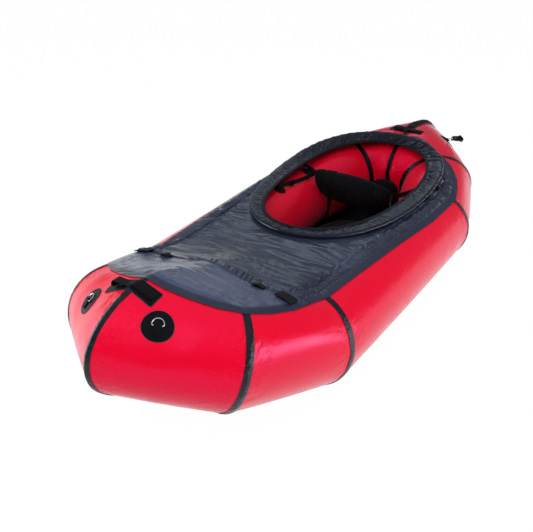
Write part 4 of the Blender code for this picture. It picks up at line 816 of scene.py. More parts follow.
def make_deck():
    grid, least, most = settle_deck(deck_surface())
    count, rows = grid.shape[:2]
    normal = surface_normals(grid, wrap_u=True)
    flip = np.where(normal[..., 2:].mean(axis=(0, 1)) < 0, -1.0, 1.0)
    normal = normal * flip
    step_out = np.linalg.norm(np.diff(grid, axis=1), axis=-1)
    down = np.concatenate([np.zeros((count, 1)), np.cumsum(step_out, 1)], 1)
    from_rim = down[:, -1:] - down
    round_hull = lengths_along(grid[:, HEM_ROWS])[:, None]
    x, y = grid[..., 0], grid[..., 1]
    total = float(round_hull[-1, 0]) + 0.008
    repeats = int(total / 0.016)
    wave = round_hull / total * repeats
    from_hem = down
    side = smooth_step(-0.80, -0.60, y)
    loose = smooth_step(0.056, 0.085, from_hem) * smooth_step(0.040, 0.09, from_rim)
    drift = 2.0 * noise(x * 7, y * 6, seed=44)
    gathered = (smooth_step(0.026, 0.036, from_hem) * smooth_step(0.125, 0.066, from_hem)
                * smooth_step(0.015, 0.05, from_rim))
    bend = (folds(wave * 0.72 + from_hem * 14, from_hem * 10 + wave * 0.08, seed=41)
            * 0.0044 * gathered * (0.35 + 0.65 * side))
    bend = bend + noise(wave * 1.9, from_hem * 24, seed=47) * 0.0014 * gathered
    bend = bend + loose * side * 0.0021 * folds(y * 34 + drift, x * 5 + 0.4 * drift, seed=42)
    bend = bend + loose * side * 0.0011 * noise(y * 90 + 3 * drift, x * 8, seed=43)
    bend = bend + loose * (1 - side) * 0.0030 * noise(y * 16 + drift, x * 7, seed=48)
    quarter = (smooth_step(0.02, 0.25, y) * smooth_step(0.74, 0.60, y)
               * np.where(x > 0, 1.0, 0.6))
    bunched = smooth_step(0.028, 0.050, from_hem) * smooth_step(0.015, 0.05, from_rim) * quarter
    bend = bend + bunched * size("fold_height") * folds(y * 15 + x * 10 + drift, x * 24 - y * 9,
                                                        seed=45)
    bend = bend + bunched * 0.0034 * folds(y * 38 - x * 16 + drift, x * 30, seed=46)
    first, last = HEM_ROWS, rows - 2
    room_up = np.full((count, rows), 0.0)
    room_up[:, first:last] = np.clip(most - grid[:, first:last, 2] + 0.0004, 0, 0.02)
    room_up[:, :first] = 0.02
    room_down = np.full((count, rows), 0.0006)
    room_down[:, first:last] = np.clip(grid[:, first:last, 2] - least + 0.0008, 0, 0.02)
    edge = smooth_step(0.0, 0.006, from_hem)
    bend = np.clip(bend * edge, -room_down, room_up)
    bend[:, last:] = 0
    lower = grid + normal * bend[..., None]
    upper = lower + normal * DECK_THICKNESS
    uv_u = np.broadcast_to(np.concatenate([round_hull, [[total]]]), (count + 1, rows))
    uv_v = np.concatenate([down, down[:1]])
    uv = np.stack([uv_u, uv_v], -1)
    mesh = closed_sheet(upper, lower, wrap_u=True, uv=uv)
    DECK["upper"], DECK["normal"], DECK["down"] = upper, normal, down
    return add_piece("spray_deck_cloth", mesh, "deck", replaces=["spray_deck"])


# Sewn casings on the deck, and stitches

def build_stitches():
    """Geometry nodes: one short thread at each step along the edges of a mesh."""
    group = bpy.data.node_groups.new("stitch_row", "GeometryNodeTree")
    face = group.interface
    face.new_socket("Geometry", in_out="INPUT", socket_type="NodeSocketGeometry")
    for label, value in (("Step", size("stitch_step")), ("Thread length", size("thread_length")),
                         ("Thread radius", size("thread_radius")), ("Turn spread", 0.10)):
        socket = face.new_socket(label, in_out="INPUT", socket_type="NodeSocketFloat")
        socket.default_value = value
    face.new_socket("Seed", in_out="INPUT", socket_type="NodeSocketInt").default_value = 7
    face.new_socket("Material", in_out="INPUT", socket_type="NodeSocketMaterial")
    face.new_socket("Geometry", in_out="OUTPUT", socket_type="NodeSocketGeometry")
    nodes, links = group.nodes, group.links
    given, result = nodes.new("NodeGroupInput"), nodes.new("NodeGroupOutput")
    curve = nodes.new("GeometryNodeMeshToCurve")
    points = nodes.new("GeometryNodeCurveToPoints")
    points.mode = "LENGTH"
    thread = nodes.new("GeometryNodeMeshCylinder")
    thread.fill_type = "TRIANGLE_FAN"
    thread.inputs["Vertices"].default_value = 6
    scatter = nodes.new("GeometryNodeInstanceOnPoints")
    spread = nodes.new("FunctionNodeRandomValue")
    spread.data_type = "FLOAT_VECTOR"
    low = nodes.new("ShaderNodeMath")
    low.operation = "MULTIPLY"
    low.inputs[1].default_value = -1.0
    turn = nodes.new("GeometryNodeRotateInstances")
    real = nodes.new("GeometryNodeRealizeInstances")
    dress = nodes.new("GeometryNodeSetMaterial")
    for start, output, end, socket in (
            (given, "Geometry", curve, 0), (curve, 0, points, "Curve"),
            (given, "Step", points, "Length"), (given, "Thread length", thread, "Depth"),
            (given, "Thread radius", thread, "Radius"), (points, "Points", scatter, "Points"),
            (thread, "Mesh", scatter, "Instance"), (points, "Rotation", scatter, "Rotation"),
            (given, "Turn spread", low, 0), (low, 0, spread, "Min"),
            (given, "Turn spread", spread, "Max"), (given, "Seed", spread, "Seed"),
            (scatter, "Instances", turn, "Instances"), (spread, "Value", turn, "Rotation"),
            (turn, "Instances", real, 0), (real, 0, dress, "Geometry"),
            (given, "Material", dress, "Material"), (dress, 0, result, 0)):
        links.new(start.outputs[output], end.inputs[socket])
    return group


def make_stitches(name, rows, body="hull"):
    """Threads along rows of points; each row is a list of places on the cloth's surface."""
    points, edges = [], []
    for row in rows:
        first = len(points)
        points += [tuple(place) for place in row]
        edges += [(first + k, first + k + 1) for k in range(len(row) - 1)]
    guide = bpy.data.meshes.new(name + "_guide")
    guide.from_pydata(points, edges, [])
    holder = bpy.data.objects.new(name + "_guide", guide)
    collection("Packraft").objects.link(holder)
    sewing = holder.modifiers.new("stitches", "NODES")
    sewing.node_group = GROUPS["stitch_row"]
    sockets = {item.name: item.identifier for item in GROUPS["stitch_row"].interface.items_tree
               if item.in_out == "INPUT"}
    sewing[sockets["Step"]] = size("stitch_step")
    sewing[sockets["Thread length"]] = size("thread_length")
    sewing[sockets["Thread radius"]] = size("thread_radius")
    sewing[sockets["Seed"]] = 7
    sewing[sockets["Material"]] = FINISHES["thread"]
    mesh = evaluated(holder)
    bpy.data.objects.remove(holder)
    mesh.shade_smooth()
    return add_piece(name, mesh, "thread", body=body)


def casing(name, spots, normals, length, widths, seed, ruffle):
    """A sewn-down strip of deck cloth, ruffled between its two rows of stitches."""
    middle = np.clip(1 - np.abs(widths / widths.max()) ** 3, 0, 1)[None, :]
    slant = length[:, None] / 0.0150
    wave = folds(slant + widths[None, :] * 26 + 0.6 * noise(length[:, None] * 20, 0.3, seed=seed),
                 widths[None, :] * 12 + length[:, None] * 3, seed=seed + 1)
    lift = 0.0007 + middle * np.maximum(ruffle * (0.8 + wave), 0.0)
    edge = np.where(np.abs(widths) > 0.995 * widths.max(), 0.0003, 0.0)[None, :]
    upper = spots + normals * (lift - edge)[..., None]
    lower = spots + normals * (lift - CASING_THICKNESS)[..., None]
    mesh = closed_sheet(upper, lower, uv=metres_uv(length, widths + CASING_INSET))
    add_piece(name, mesh, "deck")
    return [upper[:, k] + normals[:, k] * size("thread_radius") * THREAD_LIFT for k in (2, -3)]


def make_side_casings():
    """Ruffled casings along the deck's sides, in from its hem."""
    upper, normal, down = (DECK[key] for key in ("upper", "normal", "down"))
    widths = np.concatenate([[-0.020, -0.0197, -0.0175], np.linspace(-0.015, 0.015, 17),
                             [0.0175, 0.0197, 0.020]])
    rows = []
    for side, sign in (("port", 1), ("starboard", -1)):
        keep = [i for i in range(len(upper)) if sign * upper[i, 5, 0] > 0.20
                and -0.735 < upper[i, 5, 1] < 0.52]
        gaps = [k for k in range(1, len(keep)) if keep[k] != keep[k - 1] + 1]
        if gaps:
            keep = keep[gaps[0]:] + keep[:gaps[0]]
        fine = np.linspace(0, len(keep) - 1, (len(keep) - 1) * 5 + 1)
        spots = np.zeros((len(keep), len(widths), 3))
        facing = np.zeros_like(spots)
        for row, i in enumerate(keep):
            for axis in range(3):
                spots[row, :, axis] = np.interp(CASING_INSET + widths, down[i], upper[i, :, axis])
                facing[row, :, axis] = np.interp(CASING_INSET + widths, down[i], normal[i, :, axis])
        order = np.arange(len(keep))
        dense = np.stack([[np.interp(fine, order, spots[:, j, axis]) for axis in range(3)]
                          for j in range(len(widths))], 0).transpose(2, 0, 1)
        faced = np.stack([[np.interp(fine, order, facing[:, j, axis]) for axis in range(3)]
                          for j in range(len(widths))], 0).transpose(2, 0, 1)
        length = lengths_along(dense[:, len(widths) // 2])
        rows += casing("deck_casing_" + side, dense, unit(faced), length, widths,
                       70 + (sign > 0) * 5, size("ruffle"))
    return rows


def make_fore_casing():
    """The ruffled casing across the fore deck, just behind the lashing loops."""
    deck = tree_of(bpy.data.objects["spray_deck_cloth"])
    widths = np.concatenate([[-0.019, -0.0187, -0.0168], np.linspace(-0.0145, 0.0145, 15),
                             [0.0168, 0.0187, 0.019]])
    x = np.linspace(-0.292, 0.292, 293)
    spots = np.zeros((len(x), len(widths), 3))
    spots[..., 0] = x[:, None]
    spots[..., 1] = LOOPS_Y + 0.021 + 0.010 * (x / 0.29)[:, None] ** 2 + widths[None, :]
    spots[..., 2] = heights_on(deck, spots)
    facing = surface_normals(spots)
    facing = facing * np.where(facing[..., 2:] < 0, -1.0, 1.0)
    return casing("deck_casing_fore", spots, facing, x - x[0], widths, 81, size("ruffle"))


def box_rows(centre, long_way, wide_way, length, width):
    """A sewn box with its diagonals."""
    corners = [centre + long_way * a * length / 2 + wide_way * b * width / 2
               for a, b in ((-1, -1), (1, -1), (1, 1), (-1, 1))]
    pairs = ((0, 1), (1, 2), (2, 3), (3, 0), (0, 2), (1, 3))
    return [[corners[a] + (corners[b] - corners[a]) * t for t in np.linspace(0, 1, 12)]
            for a, b in pairs]


def settled(rows, surface, lift):
    """Rows of points moved to lie on what is straight under them."""
    result = []
    for row in rows:
        heights = heights_on(surface, np.asarray(row), missing=np.nan)
        if not np.isnan(heights).any():
            result.append([(p[0], p[1], z + lift) for p, z in zip(row, heights)])
    return result


# Patches, rings and webbing

RING_PLACES = {
    "bow_port": (BOW_PORT, 0.365, 50.0, True),
    "bow_starboard": (BOW_STARBOARD, 0.52, 45.0, True),
    "stern_port": (STERN_PORT, 0.49, 48.0, False),
    "stern_starboard": (STERN_STARBOARD, 0.51, 48.0, False),
}
PATCH_LIFT = 0.0006
PATCH_THICKNESS = 0.0011
PATCH_RADIUS = 0.039
RING_WIRE = 0.0016
RING_HALF = 0.0145
RING_LEG = 0.004
TAB_WEBBING = 0.0018
TAB_BARREL = RING_WIRE + 0.0006 + TAB_WEBBING


SLOPE_STEP = 0.01


def skin_slopes(panel, share, angle, offset=0.0):
    """How the plain skin runs over two small steps along the tube, and two round it."""
    step = SLOPE_STEP
    return (skin_plain(panel, share + step, angle, offset)
            - skin_plain(panel, share - step, angle, offset),
            skin_plain(panel, share, angle + step, offset)
            - skin_plain(panel, share, angle - step, offset))


def skin_axes(panel, share, angle, offset=0.0):
    """A place on the skin and its axes: along the tube, round it towards its top, and outward."""
    here = skin_plain(panel, share, angle, offset)
    along, turn = skin_slopes(panel, share, angle, offset)
    centre = RINGS[panel][0] * (1 - share) + RINGS[(panel + 1) % COUNT][0] * share
    out = unit(np.cross(along, turn))
    if out @ (here - centre) < 0:
        out = -out
    along = unit(along)
    across = unit(np.cross(out, along))
    if across @ turn < 0:
        across, along = -across, -along
    return here, along, across, out


def patch_points(panel, share, angle, along_by, across_by, offset):
    """Places on the skin measured in metres along and across the tube from another."""
    here, along, across, out = skin_axes(panel, share, angle)
    slide, turn = skin_slopes(panel, share, angle)
    around = across_by / (turn @ across)
    ahead = (along_by - around * (turn @ along)) / (slide @ along)
    return on_skin(panel, share + ahead * 2 * SLOPE_STEP, angle + around * 2 * SLOPE_STEP, offset)


def round_patch(panel, share, angle, radius, lift=PATCH_LIFT, thick=PATCH_THICKNESS):
    """A glued disc, thinner at its edge, with its radius as the first UV number."""
    reaches = np.array((0.0005, 0.25, 0.5, 0.7, 0.85, 0.93, 0.975, 1.0)) * radius
    turns = np.linspace(0, 2 * math.pi, 73)
    distance, turn = np.meshgrid(reaches, turns, indexing="ij")
    x, y = distance * np.cos(turn), distance * np.sin(turn)
    edge = np.where(distance > radius * 0.99, thick * 0.6, 0.0)
    upper = patch_points(panel, share, angle, x, y, lift + thick - edge)
    lower = patch_points(panel, share, angle, x, y, lift)
    return closed_sheet(upper[:, :-1], lower[:, :-1], wrap_v=True,
                        uv=np.stack([distance, turn * 0.01], -1))


def ring_axes(place):
    panel, share, degrees, towards_top = RING_PLACES[place]
    here, along, across, out = skin_axes(panel, share, math.radians(degrees),
                                         PATCH_LIFT + 0.0010)
    lie = across if towards_top else -across
    bar = unit(np.cross(lie, out))
    return here + out * (TAB_BARREL - 0.0004), bar, lie, out


def ribbon(path, across, width, thick):
    """Webbing along a path: a flat strip with softened edges, closed all round."""
    path = np.asarray(path, float)
    normals = unit(path_normals(path, across))
    across = np.broadcast_to(unit(np.asarray(across, float)), path.shape)
    shares = np.array((-1.0, -0.94, -0.8, -0.4, 0.0, 0.4, 0.8, 0.94, 1.0))
    soft = np.array((0.45, 0.8, 1.0, 1.0, 1.0, 1.0, 1.0, 0.8, 0.45))
    side = across[:, None] * (shares * width / 2)[None, :, None]
    up = normals[:, None] * (soft * thick / 2)[None, :, None]
    upper, lower = path[:, None] + side + up, path[:, None] + side - up
    return closed_sheet(upper, lower, uv=metres_uv(lengths_along(path), shares * width / 2))


def path_normals(path, across):
    slope = np.gradient(np.asarray(path, float), axis=0)
    return unit(np.cross(np.broadcast_to(across, slope.shape), slope))


def joined(meshes):
    """Several closed meshes as one, their finishes kept by the caller."""
    shape = bmesh.new()
    for mesh in meshes:
        shape.from_mesh(mesh)
    result = bpy.data.meshes.new("joined")
    shape.to_mesh(result)
    shape.free()
    result.shade_smooth()
    result.set_sharp_from_angle(angle=math.radians(50))
    return result


def tab_mesh(place):
    """The webbing tab folded round the ring's bar and sewn to its patch."""
    centre, bar, lie, out = ring_axes(place)
    middle = TAB_BARREL - TAB_WEBBING / 2
    turns = np.radians(np.linspace(-90, 90, 17))
    under = [(-0.024 + 0.002 * k, -middle) for k in range(12)]
    loop = [(middle * math.cos(t), middle * math.sin(t)) for t in turns]
    over = [(-0.0015, middle * 0.98), (-0.003, middle * 0.86), (-0.0045, middle * 0.6),
            (-0.006, middle * 0.25), (-0.0075, -middle * 0.02),
            (-0.010, -middle + TAB_WEBBING * 1.1), (-0.014, -middle + TAB_WEBBING * 1.06),
            (-0.020, -middle + TAB_WEBBING * 1.05)]
    flat = under + loop + over
    path = np.array([centre + lie * x + out * y for x, y in flat])
    return ribbon(path, bar, TAB_WIDTH, TAB_WEBBING)


def make_ring_patch(place):
    panel, share, degrees, towards_top = RING_PLACES[place]
    mesh = round_patch(panel, share, math.radians(degrees), PATCH_RADIUS)
    name = place.replace("_", "_ring_patch_")
    patch = add_piece(name + "_disc", mesh, "patch", replaces=[name])
    tab = add_piece(name + "_tab", tab_mesh(place), "webbing", replaces=[name])
    return patch, tab


def make_ring(place):
    """A round-wire D-ring, its bar in the tab."""
    centre, bar, lie, out = ring_axes(place)
    tilt = math.radians(38.0 if place == "stern_port" else -6.0)
    reach = lie * math.cos(tilt) + out * math.sin(tilt)
    corner = 0.0032
    flat = [(x, 0.0) for x in np.linspace(-RING_HALF + corner, RING_HALF - corner, 9)]
    flat += [(RING_HALF - corner + corner * math.sin(t), corner - corner * math.cos(t))
             for t in np.radians((20, 40, 60, 80))]
    flat += [(RING_HALF * math.cos(t), RING_LEG + RING_HALF * math.sin(t))
             for t in np.linspace(0, math.pi, 33)]
    flat += [(-RING_HALF + corner - corner * math.sin(t), corner - corner * math.cos(t))
             for t in np.radians((80, 60, 40, 20))]
    mesh = sweep([centre + bar * x + reach * y for x, y in flat], RING_WIRE, sides=20)
    node = place.replace("_", "_d_ring_")
    body = place.replace("_", "_ring_")
    return add_piece(node + "_wire", mesh, "steel", body=body, replaces=[node])


def make_handle(end, centre_x, centre_y):
    """A rectangular patch over the tube, and webbing sewn down near both ends of it."""
    side = "port", "starboard"
    surface = tree_of(*[bpy.data.objects["%s_tube_%s_skin" % (end, s)] for s in side],
                      bpy.data.objects["seam_tape_%s_strip" % end])
    length, width, corner = 0.156, 0.049, 0.008
    x = np.linspace(-length / 2, length / 2, 79)
    y = np.linspace(-width / 2, width / 2, 27)
    gx, gy = np.meshgrid(x, y, indexing="ij")
    over_x = np.maximum(np.abs(gx) - (length / 2 - corner), 0)
    over_y = np.maximum(np.abs(gy) - (width / 2 - corner), 0)
    too_far = np.hypot(over_x, over_y) / corner
    rounded = (over_x > 0) & (over_y > 0)
    pull = 1 / np.maximum(too_far, 1.0)
    px = np.where(rounded, np.sign(gx) * (length / 2 - corner + over_x * pull), gx)
    py = np.where(rounded, np.sign(gy) * (width / 2 - corner + over_y * pull), gy)
    points = np.stack([centre_x + px, centre_y + py, np.zeros_like(px)], -1)
    z = heights_on(surface, points, missing=np.nan)
    if np.isnan(z).any():
        z = np.where(np.isnan(z), np.nanmean(z), z)
    for _ in range(6):
        padded = np.pad(z, 1, mode="edge")
        around = (padded[:-2, 1:-1] + padded[2:, 1:-1] + padded[1:-1, :-2] + padded[1:-1, 2:]) / 4
        z = np.maximum(around, z)
    lift = 0.0007
    edge = np.where((np.abs(gx) > length / 2 - 1e-6) | (np.abs(gy) > width / 2 - 1e-6),
                    0.0006, 0.0)
    points[..., 2] = z + lift
    upper = points + np.stack([0 * z, 0 * z, 0.0012 - edge], -1)
    distance = np.minimum(length / 2 - np.abs(gx), width / 2 - np.abs(gy))
    mesh = closed_sheet(upper, points, uv=np.stack([PATCH_RADIUS - distance, gx], -1))
    patch = add_piece(end + "_handle_patch_sheet", mesh, "patch", replaces=[end + "_handle_patch"])
    top = tree_of(patch)
    thick = 0.0022

    def base(x):
        hit = top.ray_cast(Vector((centre_x + x, centre_y, 1.0)), Vector((0, 0, -1)))[0]
        return hit.z + thick / 2 + 0.0004

    fold, foot, far = -0.058, 0.030, 0.068
    curl = min(max(0.0058, (base(0.0) + 0.0035 - base(fold)) / 2), 0.0085)
    flat = [(x, 0.0) for x in np.linspace(-0.022, fold + curl, 14)]
    flat += [(fold + curl - curl * math.sin(t), curl - curl * math.cos(t))
             for t in np.linspace(0.2, math.pi - 0.35, 13)]
    height = flat[-1][1]
    start = flat[-1][0]
    for x in np.linspace(start, foot, 36)[1:]:
        share = (x - start) / (foot - start)
        level = base(start) + height + (base(foot) - base(start) - height) * share ** 2.2
        flat.append((x, max(level - base(x), 0.0030 * (1 - share))))
    flat += [(x, 0.0) for x in np.linspace(foot, far, 16)[1:]]
    path = np.array([(centre_x + x, centre_y, base(x) + z) for x, z in flat])
    path[:, 2] = np.convolve(np.pad(path[:, 2], 1, mode="edge"), (0.25, 0.5, 0.25), "valid")
    across = np.array((0.0, 1.0, 0.0))
    mesh = ribbon(path, across, HANDLE_WIDTH, thick)
    handle = add_piece(end + "_handle_webbing", mesh, "webbing", replaces=[end + "_handle"])
    spot = np.array((centre_x + (foot + far) / 2 + 0.003, centre_y, 0.0))
    rows = box_rows(spot, np.array((1.0, 0, 0)), np.array((0, 1.0, 0)), 0.026, 0.019)
    make_stitches(end + "_handle_stitches",
                  settled(rows, tree_of(handle), size("thread_radius") * THREAD_LIFT))
    return patch, handle


def make_stern_strip():
    """A wide patch along the stern seam, with webbing sewn down its middle."""
    lift = SKIN_CLEARANCE + TAPE_THICKNESS + 0.0006
    angles = np.radians(np.linspace(102, 36, 60))
    lengths = [float(np.mean(seam_length(panel, angles)))
               for panel in (STERN_PORT, STERN_STARBOARD)]
    widths = np.array((-1.0, -0.985, -0.93, -0.8, -0.65, -0.5, -0.36, -0.22, -0.08,
                       0.08, 0.22, 0.36, 0.5, 0.65, 0.8, 0.93, 0.985, 1.0)) * STRIP_HALF

    def surface(offset, columns):
        grid = []
        for place in columns:
            if place < 0:
                grid.append(on_skin(STERN_STARBOARD, -place / lengths[1], angles, offset))
            else:
                grid.append(on_skin(STERN_PORT, 1 - place / lengths[0], angles, offset))
        return np.stack(grid, 1)

    along = lengths_along(surface(0.0, (0.001,))[:, 0])
    upper = surface(lift + PATCH_THICKNESS, widths)
    lower = surface(lift, widths)
    distance = np.minimum(STRIP_HALF - np.abs(widths)[None, :],
                          np.minimum(along, along[-1] - along)[:, None])
    mesh = closed_sheet(upper, lower, uv=np.stack([PATCH_RADIUS - distance,
                                                   np.broadcast_to(widths, distance.shape)], -1))
    patch = add_piece("stern_strip_patch", mesh, "patch", replaces=["stern_strip"])
    narrow = np.linspace(-1, 1, 13) * STRIP_WEBBING_HALF
    soft = np.where(np.abs(narrow) > 0.98 * STRIP_WEBBING_HALF, 0.0008, 0.0)
    ladder = 0.0016 * np.clip(np.sin(along * 2 * math.pi / 0.052), 0, 1)[:, None] ** 0.7
    raised = surface(lift + 0.0034, narrow)
    base = surface(lift + 0.0013, narrow)
    up = unit(raised - base)
    raised = raised + up * (ladder - soft[None, :])[..., None]
    mesh = closed_sheet(raised, base, uv=metres_uv(along, narrow))
    strap = add_piece("stern_strip_webbing", mesh, "webbing", replaces=["stern_strip"])
    return patch, strap


def make_deck_loop(name, centre_x, length, width, degrees, rise):
    """Webbing folded flat and sewn to the deck at both ends."""
    deck = tree_of(bpy.data.objects["spray_deck_cloth"])
    turn = math.radians(degrees)
    long_way = np.array((math.cos(turn), math.sin(turn), 0.0))
    wide_way = np.array((-math.sin(turn), math.cos(turn), 0.0))
    centre = np.array((centre_x, LOOPS_Y, 0.0))
    shares = np.linspace(-0.5, 0.5, 25)
    across = np.linspace(-0.5, 0.5, 9)
    spots = (centre + shares[:, None, None] * length * long_way
             + across[None, :, None] * width * wide_way)
    base = heights_on(deck, spots)
    flat = np.polynomial.polynomial.polyfit(shares, base.max(axis=1), 2)
    level = np.polynomial.polynomial.polyval(shares, flat)
    tilt = (base[:, -1].mean() - base[:, 0].mean())
    clear = float(np.max(base - level[:, None] - tilt * across[None, :])) + 0.0008

    def strip(lift, thick, bow):
        z = (level + clear + lift)[:, None] + tilt * across[None, :]
        z = z + (bow * np.cos(np.clip(shares / 0.46, -1, 1) * math.pi / 2) ** 1.5)[:, None]
        soft = np.where(np.abs(across) > 0.49, thick * 0.25, 0.0)[None, :]
        top = np.concatenate([spots[..., :2], (z + thick - soft)[..., None]], -1)
        bottom = np.concatenate([spots[..., :2], (z + soft)[..., None]], -1)
        return closed_sheet(top, bottom, uv=metres_uv(shares * length, across * width))

    mesh = joined([strip(0.0, 0.0016, 0.0), strip(0.0017, 0.0017, rise)])
    return add_piece(name + "_webbing", mesh, "webbing", replaces=[name])


def refined(node, name, finish):
    """A smoother copy of a frame piece: its edges rounded and its faces divided."""
    copy = blank_copy(node, name)
    shape = bmesh.new()
    shape.from_mesh(copy.data)
    bmesh.ops.remove_doubles(shape, verts=shape.verts, dist=1e-5)
    bmesh.ops.dissolve_limit(shape, angle_limit=math.radians(1), verts=shape.verts,
                             edges=shape.edges)
    bmesh.ops.recalc_face_normals(shape, faces=shape.faces)
    shape.to_mesh(copy.data)
    shape.free()
    soften = copy.modifiers.new("edges", "BEVEL")
    soften.width, soften.segments = EDGE_ROUNDING, 2
    soften.angle_limit = math.radians(38)
    divide = copy.modifiers.new("divide", "SUBSURF")
    divide.levels = divide.render_levels = 1
    divide.subdivision_type = "SIMPLE"
    mesh = evaluated(copy)
    bpy.data.objects.remove(copy)
    mesh.shade_smooth()
    mesh.set_sharp_from_angle(angle=math.radians(32))
    return add_piece(name, mesh, finish, replaces=[node])


def make_stern_buckle():
    """A chunky ladder-lock hanging from the port stern ring, webbing folded through it."""
    source = NODES["stern_buckle"].data
    shape = bmesh.new()
    shape.from_mesh(source)
    bmesh.ops.remove_doubles(shape, verts=shape.verts, dist=1e-5)
    points = np.array([vertex.co[:] for vertex in shape.verts])
    ring = np.array(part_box("stern_d_ring_port")).mean(axis=0)
    middle = points.mean(axis=0)
    axes = np.linalg.svd(points - middle, full_matrices=False)[2]
    outward = unit(middle - ring)
    order = sorted(range(3), key=lambda k: -abs(float(axes[k] @ outward)))
    long_way = axes[order[0]] * np.sign(axes[order[0]] @ outward)
    spreads = [(points - middle) @ axis for axis in axes]
    rest = sorted(order[1:], key=lambda k: -np.ptp(spreads[k]))
    wide_way, thin_way = axes[rest[0]], axes[rest[1]]
    thin_way = thin_way * np.sign(thin_way @ ring_axes("stern_port")[3])
    local = (points - middle) @ np.stack([long_way, wide_way, thin_way], 1)
    near = local[:, 0].min()
    longer, wider, thicker = BUCKLE_GROWTH
    scaled = np.stack([(local[:, 0] - near) * longer + near - BUCKLE_BACK, local[:, 1] * wider,
                       local[:, 2] * thicker], 1)
    middle = middle + ring_axes("stern_port")[3] * BUCKLE_OUT
    moved = middle + scaled @ np.stack([long_way, wide_way, thin_way])
    for vertex, place in zip(shape.verts, moved):
        vertex.co = place
    bmesh.ops.recalc_face_normals(shape, faces=shape.faces)
    mesh = bpy.data.meshes.new("stern_buckle_frame")
    shape.to_mesh(mesh)
    shape.free()
    mesh.shade_smooth()
    mesh.set_sharp_from_angle(angle=math.radians(35))
    frame = add_piece("stern_buckle_frame", mesh, "plastic", body="hanging_buckle",
                      replaces=["stern_buckle"])
    low, high = scaled.min(axis=0), scaled.max(axis=0)
    turns = np.radians(np.linspace(-80, 260, 30))
    centre = middle + long_way * (low[0] * 0.1 + high[0] * 0.9)
    reach, rise = BUCKLE_LOOP
    loop = [centre + long_way * reach * math.cos(t) + thin_way * rise * math.sin(t)
            for t in turns]
    width = (high[1] - low[1]) * 0.66
    path = np.array(loop)
    tail = [path[-1] - long_way * 0.003 * k + thin_way * (0.0022 * k - 0.0002 * k * k)
            for k in range(1, 10)]
    path = np.concatenate([path, tail])
    mesh = ribbon(path, wide_way, width, BUCKLE_WEBBING_THICKNESS)
    strap = add_piece("stern_buckle_webbing", mesh, "webbing", body="hanging_buckle",
                      replaces=["stern_buckle"])
    return frame, strap


# Padded pieces

def puffed(node, draw_in, swell_by, cap):
    """A copy of a soft frame piece, shrunk a little and blown up by cloth simulation."""
    copy = blank_copy(node, node + "_blank")
    tidied(copy.data, WELD)
    remesh = copy.modifiers.new("remesh", "REMESH")
    remesh.mode, remesh.voxel_size = "VOXEL", CUSHION_VOXEL
    mesh = evaluated(copy)
    copy.modifiers.clear()
    copy.data = mesh
    start = read_points(mesh) - read_points(mesh, "normal") * draw_in
    write_points(mesh, start)
    cloth = copy.modifiers.new("cloth", "CLOTH")
    cloth.settings.use_pressure = True
    cloth.settings.uniform_pressure_force = swell_by
    cloth.settings.quality = 4
    cloth.settings.tension_stiffness = cloth.settings.compression_stiffness = 12
    cloth.settings.bending_stiffness = 0.4
    cloth.settings.effector_weights.gravity = 0
    cloth.collision_settings.use_collision = False
    cloth.point_cache.frame_start, cloth.point_cache.frame_end = 1, CLOTH_FRAMES
    scene = bpy.context.scene
    for frame in range(1, CLOTH_FRAMES + 1):
        scene.frame_set(frame)
    blown = evaluated(copy)
    copy.modifiers.clear()
    scene.frame_set(1)
    move = read_points(blown) - start
    bpy.data.meshes.remove(blown)
    length = np.linalg.norm(move, axis=1, keepdims=True)
    move = move * np.minimum(1.0, cap / np.maximum(length, 1e-9))
    write_points(mesh, start + move)
    divide = copy.modifiers.new("divide", "SUBSURF")
    divide.levels = divide.render_levels = 1
    mesh = evaluated(copy)
    bpy.data.objects.remove(copy)
    mesh.shade_smooth()
    return mesh


def sculpt(mesh, shift):
    """Move each point along its normal by what shift gives for all points at once."""
    points, normals = read_points(mesh), read_points(mesh, "normal")
    write_points(mesh, points + normals * shift(points, normals)[:, None])


def make_backrest():
    """A soft pad, one end a rolled bolster set off by sewn seams."""
    mesh = puffed("backrest", 0.004, size("cushion_pressure"), size("cushion_movement"))
    low, high = (np.array(corner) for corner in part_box("backrest"))
    middle = (low + high) / 2

    def shift(points, normals):
        local = points - middle
        x = local[:, 0]
        seam = np.zeros(len(points))
        for place, depth in ((-0.118, 0.0045), (-0.066, 0.0022), (0.110, 0.0030)):
            seam -= depth * np.exp(-((x - place + 0.06 * local[:, 2]) / 0.0050) ** 2)
        piping = 0.0012 * np.exp(-((local[:, 2] - 0.036) / 0.004) ** 2)
        soft = 0.0016 * noise(points[:, 0] * 26, points[:, 2] * 22 + points[:, 1] * 18, seed=61)
        fine = 0.0006 * noise(points[:, 0] * 90, points[:, 2] * 80 + points[:, 1] * 60, seed=62)
        return seam - piping + soft + fine

    sculpt(mesh, shift)
    piece = add_piece("backrest_pad_cloth", mesh, "fabric", body="backrest_pad",
                      replaces=["backrest"])
    return piece


def make_seat():
    """An inflated cushion with two welded channels along it."""
    mesh = puffed("seat", 0.004, size("cushion_pressure"), size("cushion_movement"))
    low, high = (np.array(corner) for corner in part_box("seat"))

    def shift(points, normals):
        up = np.clip(normals[:, 2], 0, 1)
        x = points[:, 0]
        groove = sum(-0.0060 * np.exp(-((x - place) / 0.0075) ** 2) for place in (-0.041, 0.041))
        ends = smooth_step(low[1], low[1] + 0.03, points[:, 1]) * smooth_step(
            high[1], high[1] - 0.03, points[:, 1])
        soft = 0.0010 * noise(points[:, 0] * 22, points[:, 1] * 22, seed=64)
        return groove * up * ends + soft * up

    sculpt(mesh, shift)
    piece = add_piece("seat_cloth", mesh, "fabric", replaces=["seat"])
    return piece


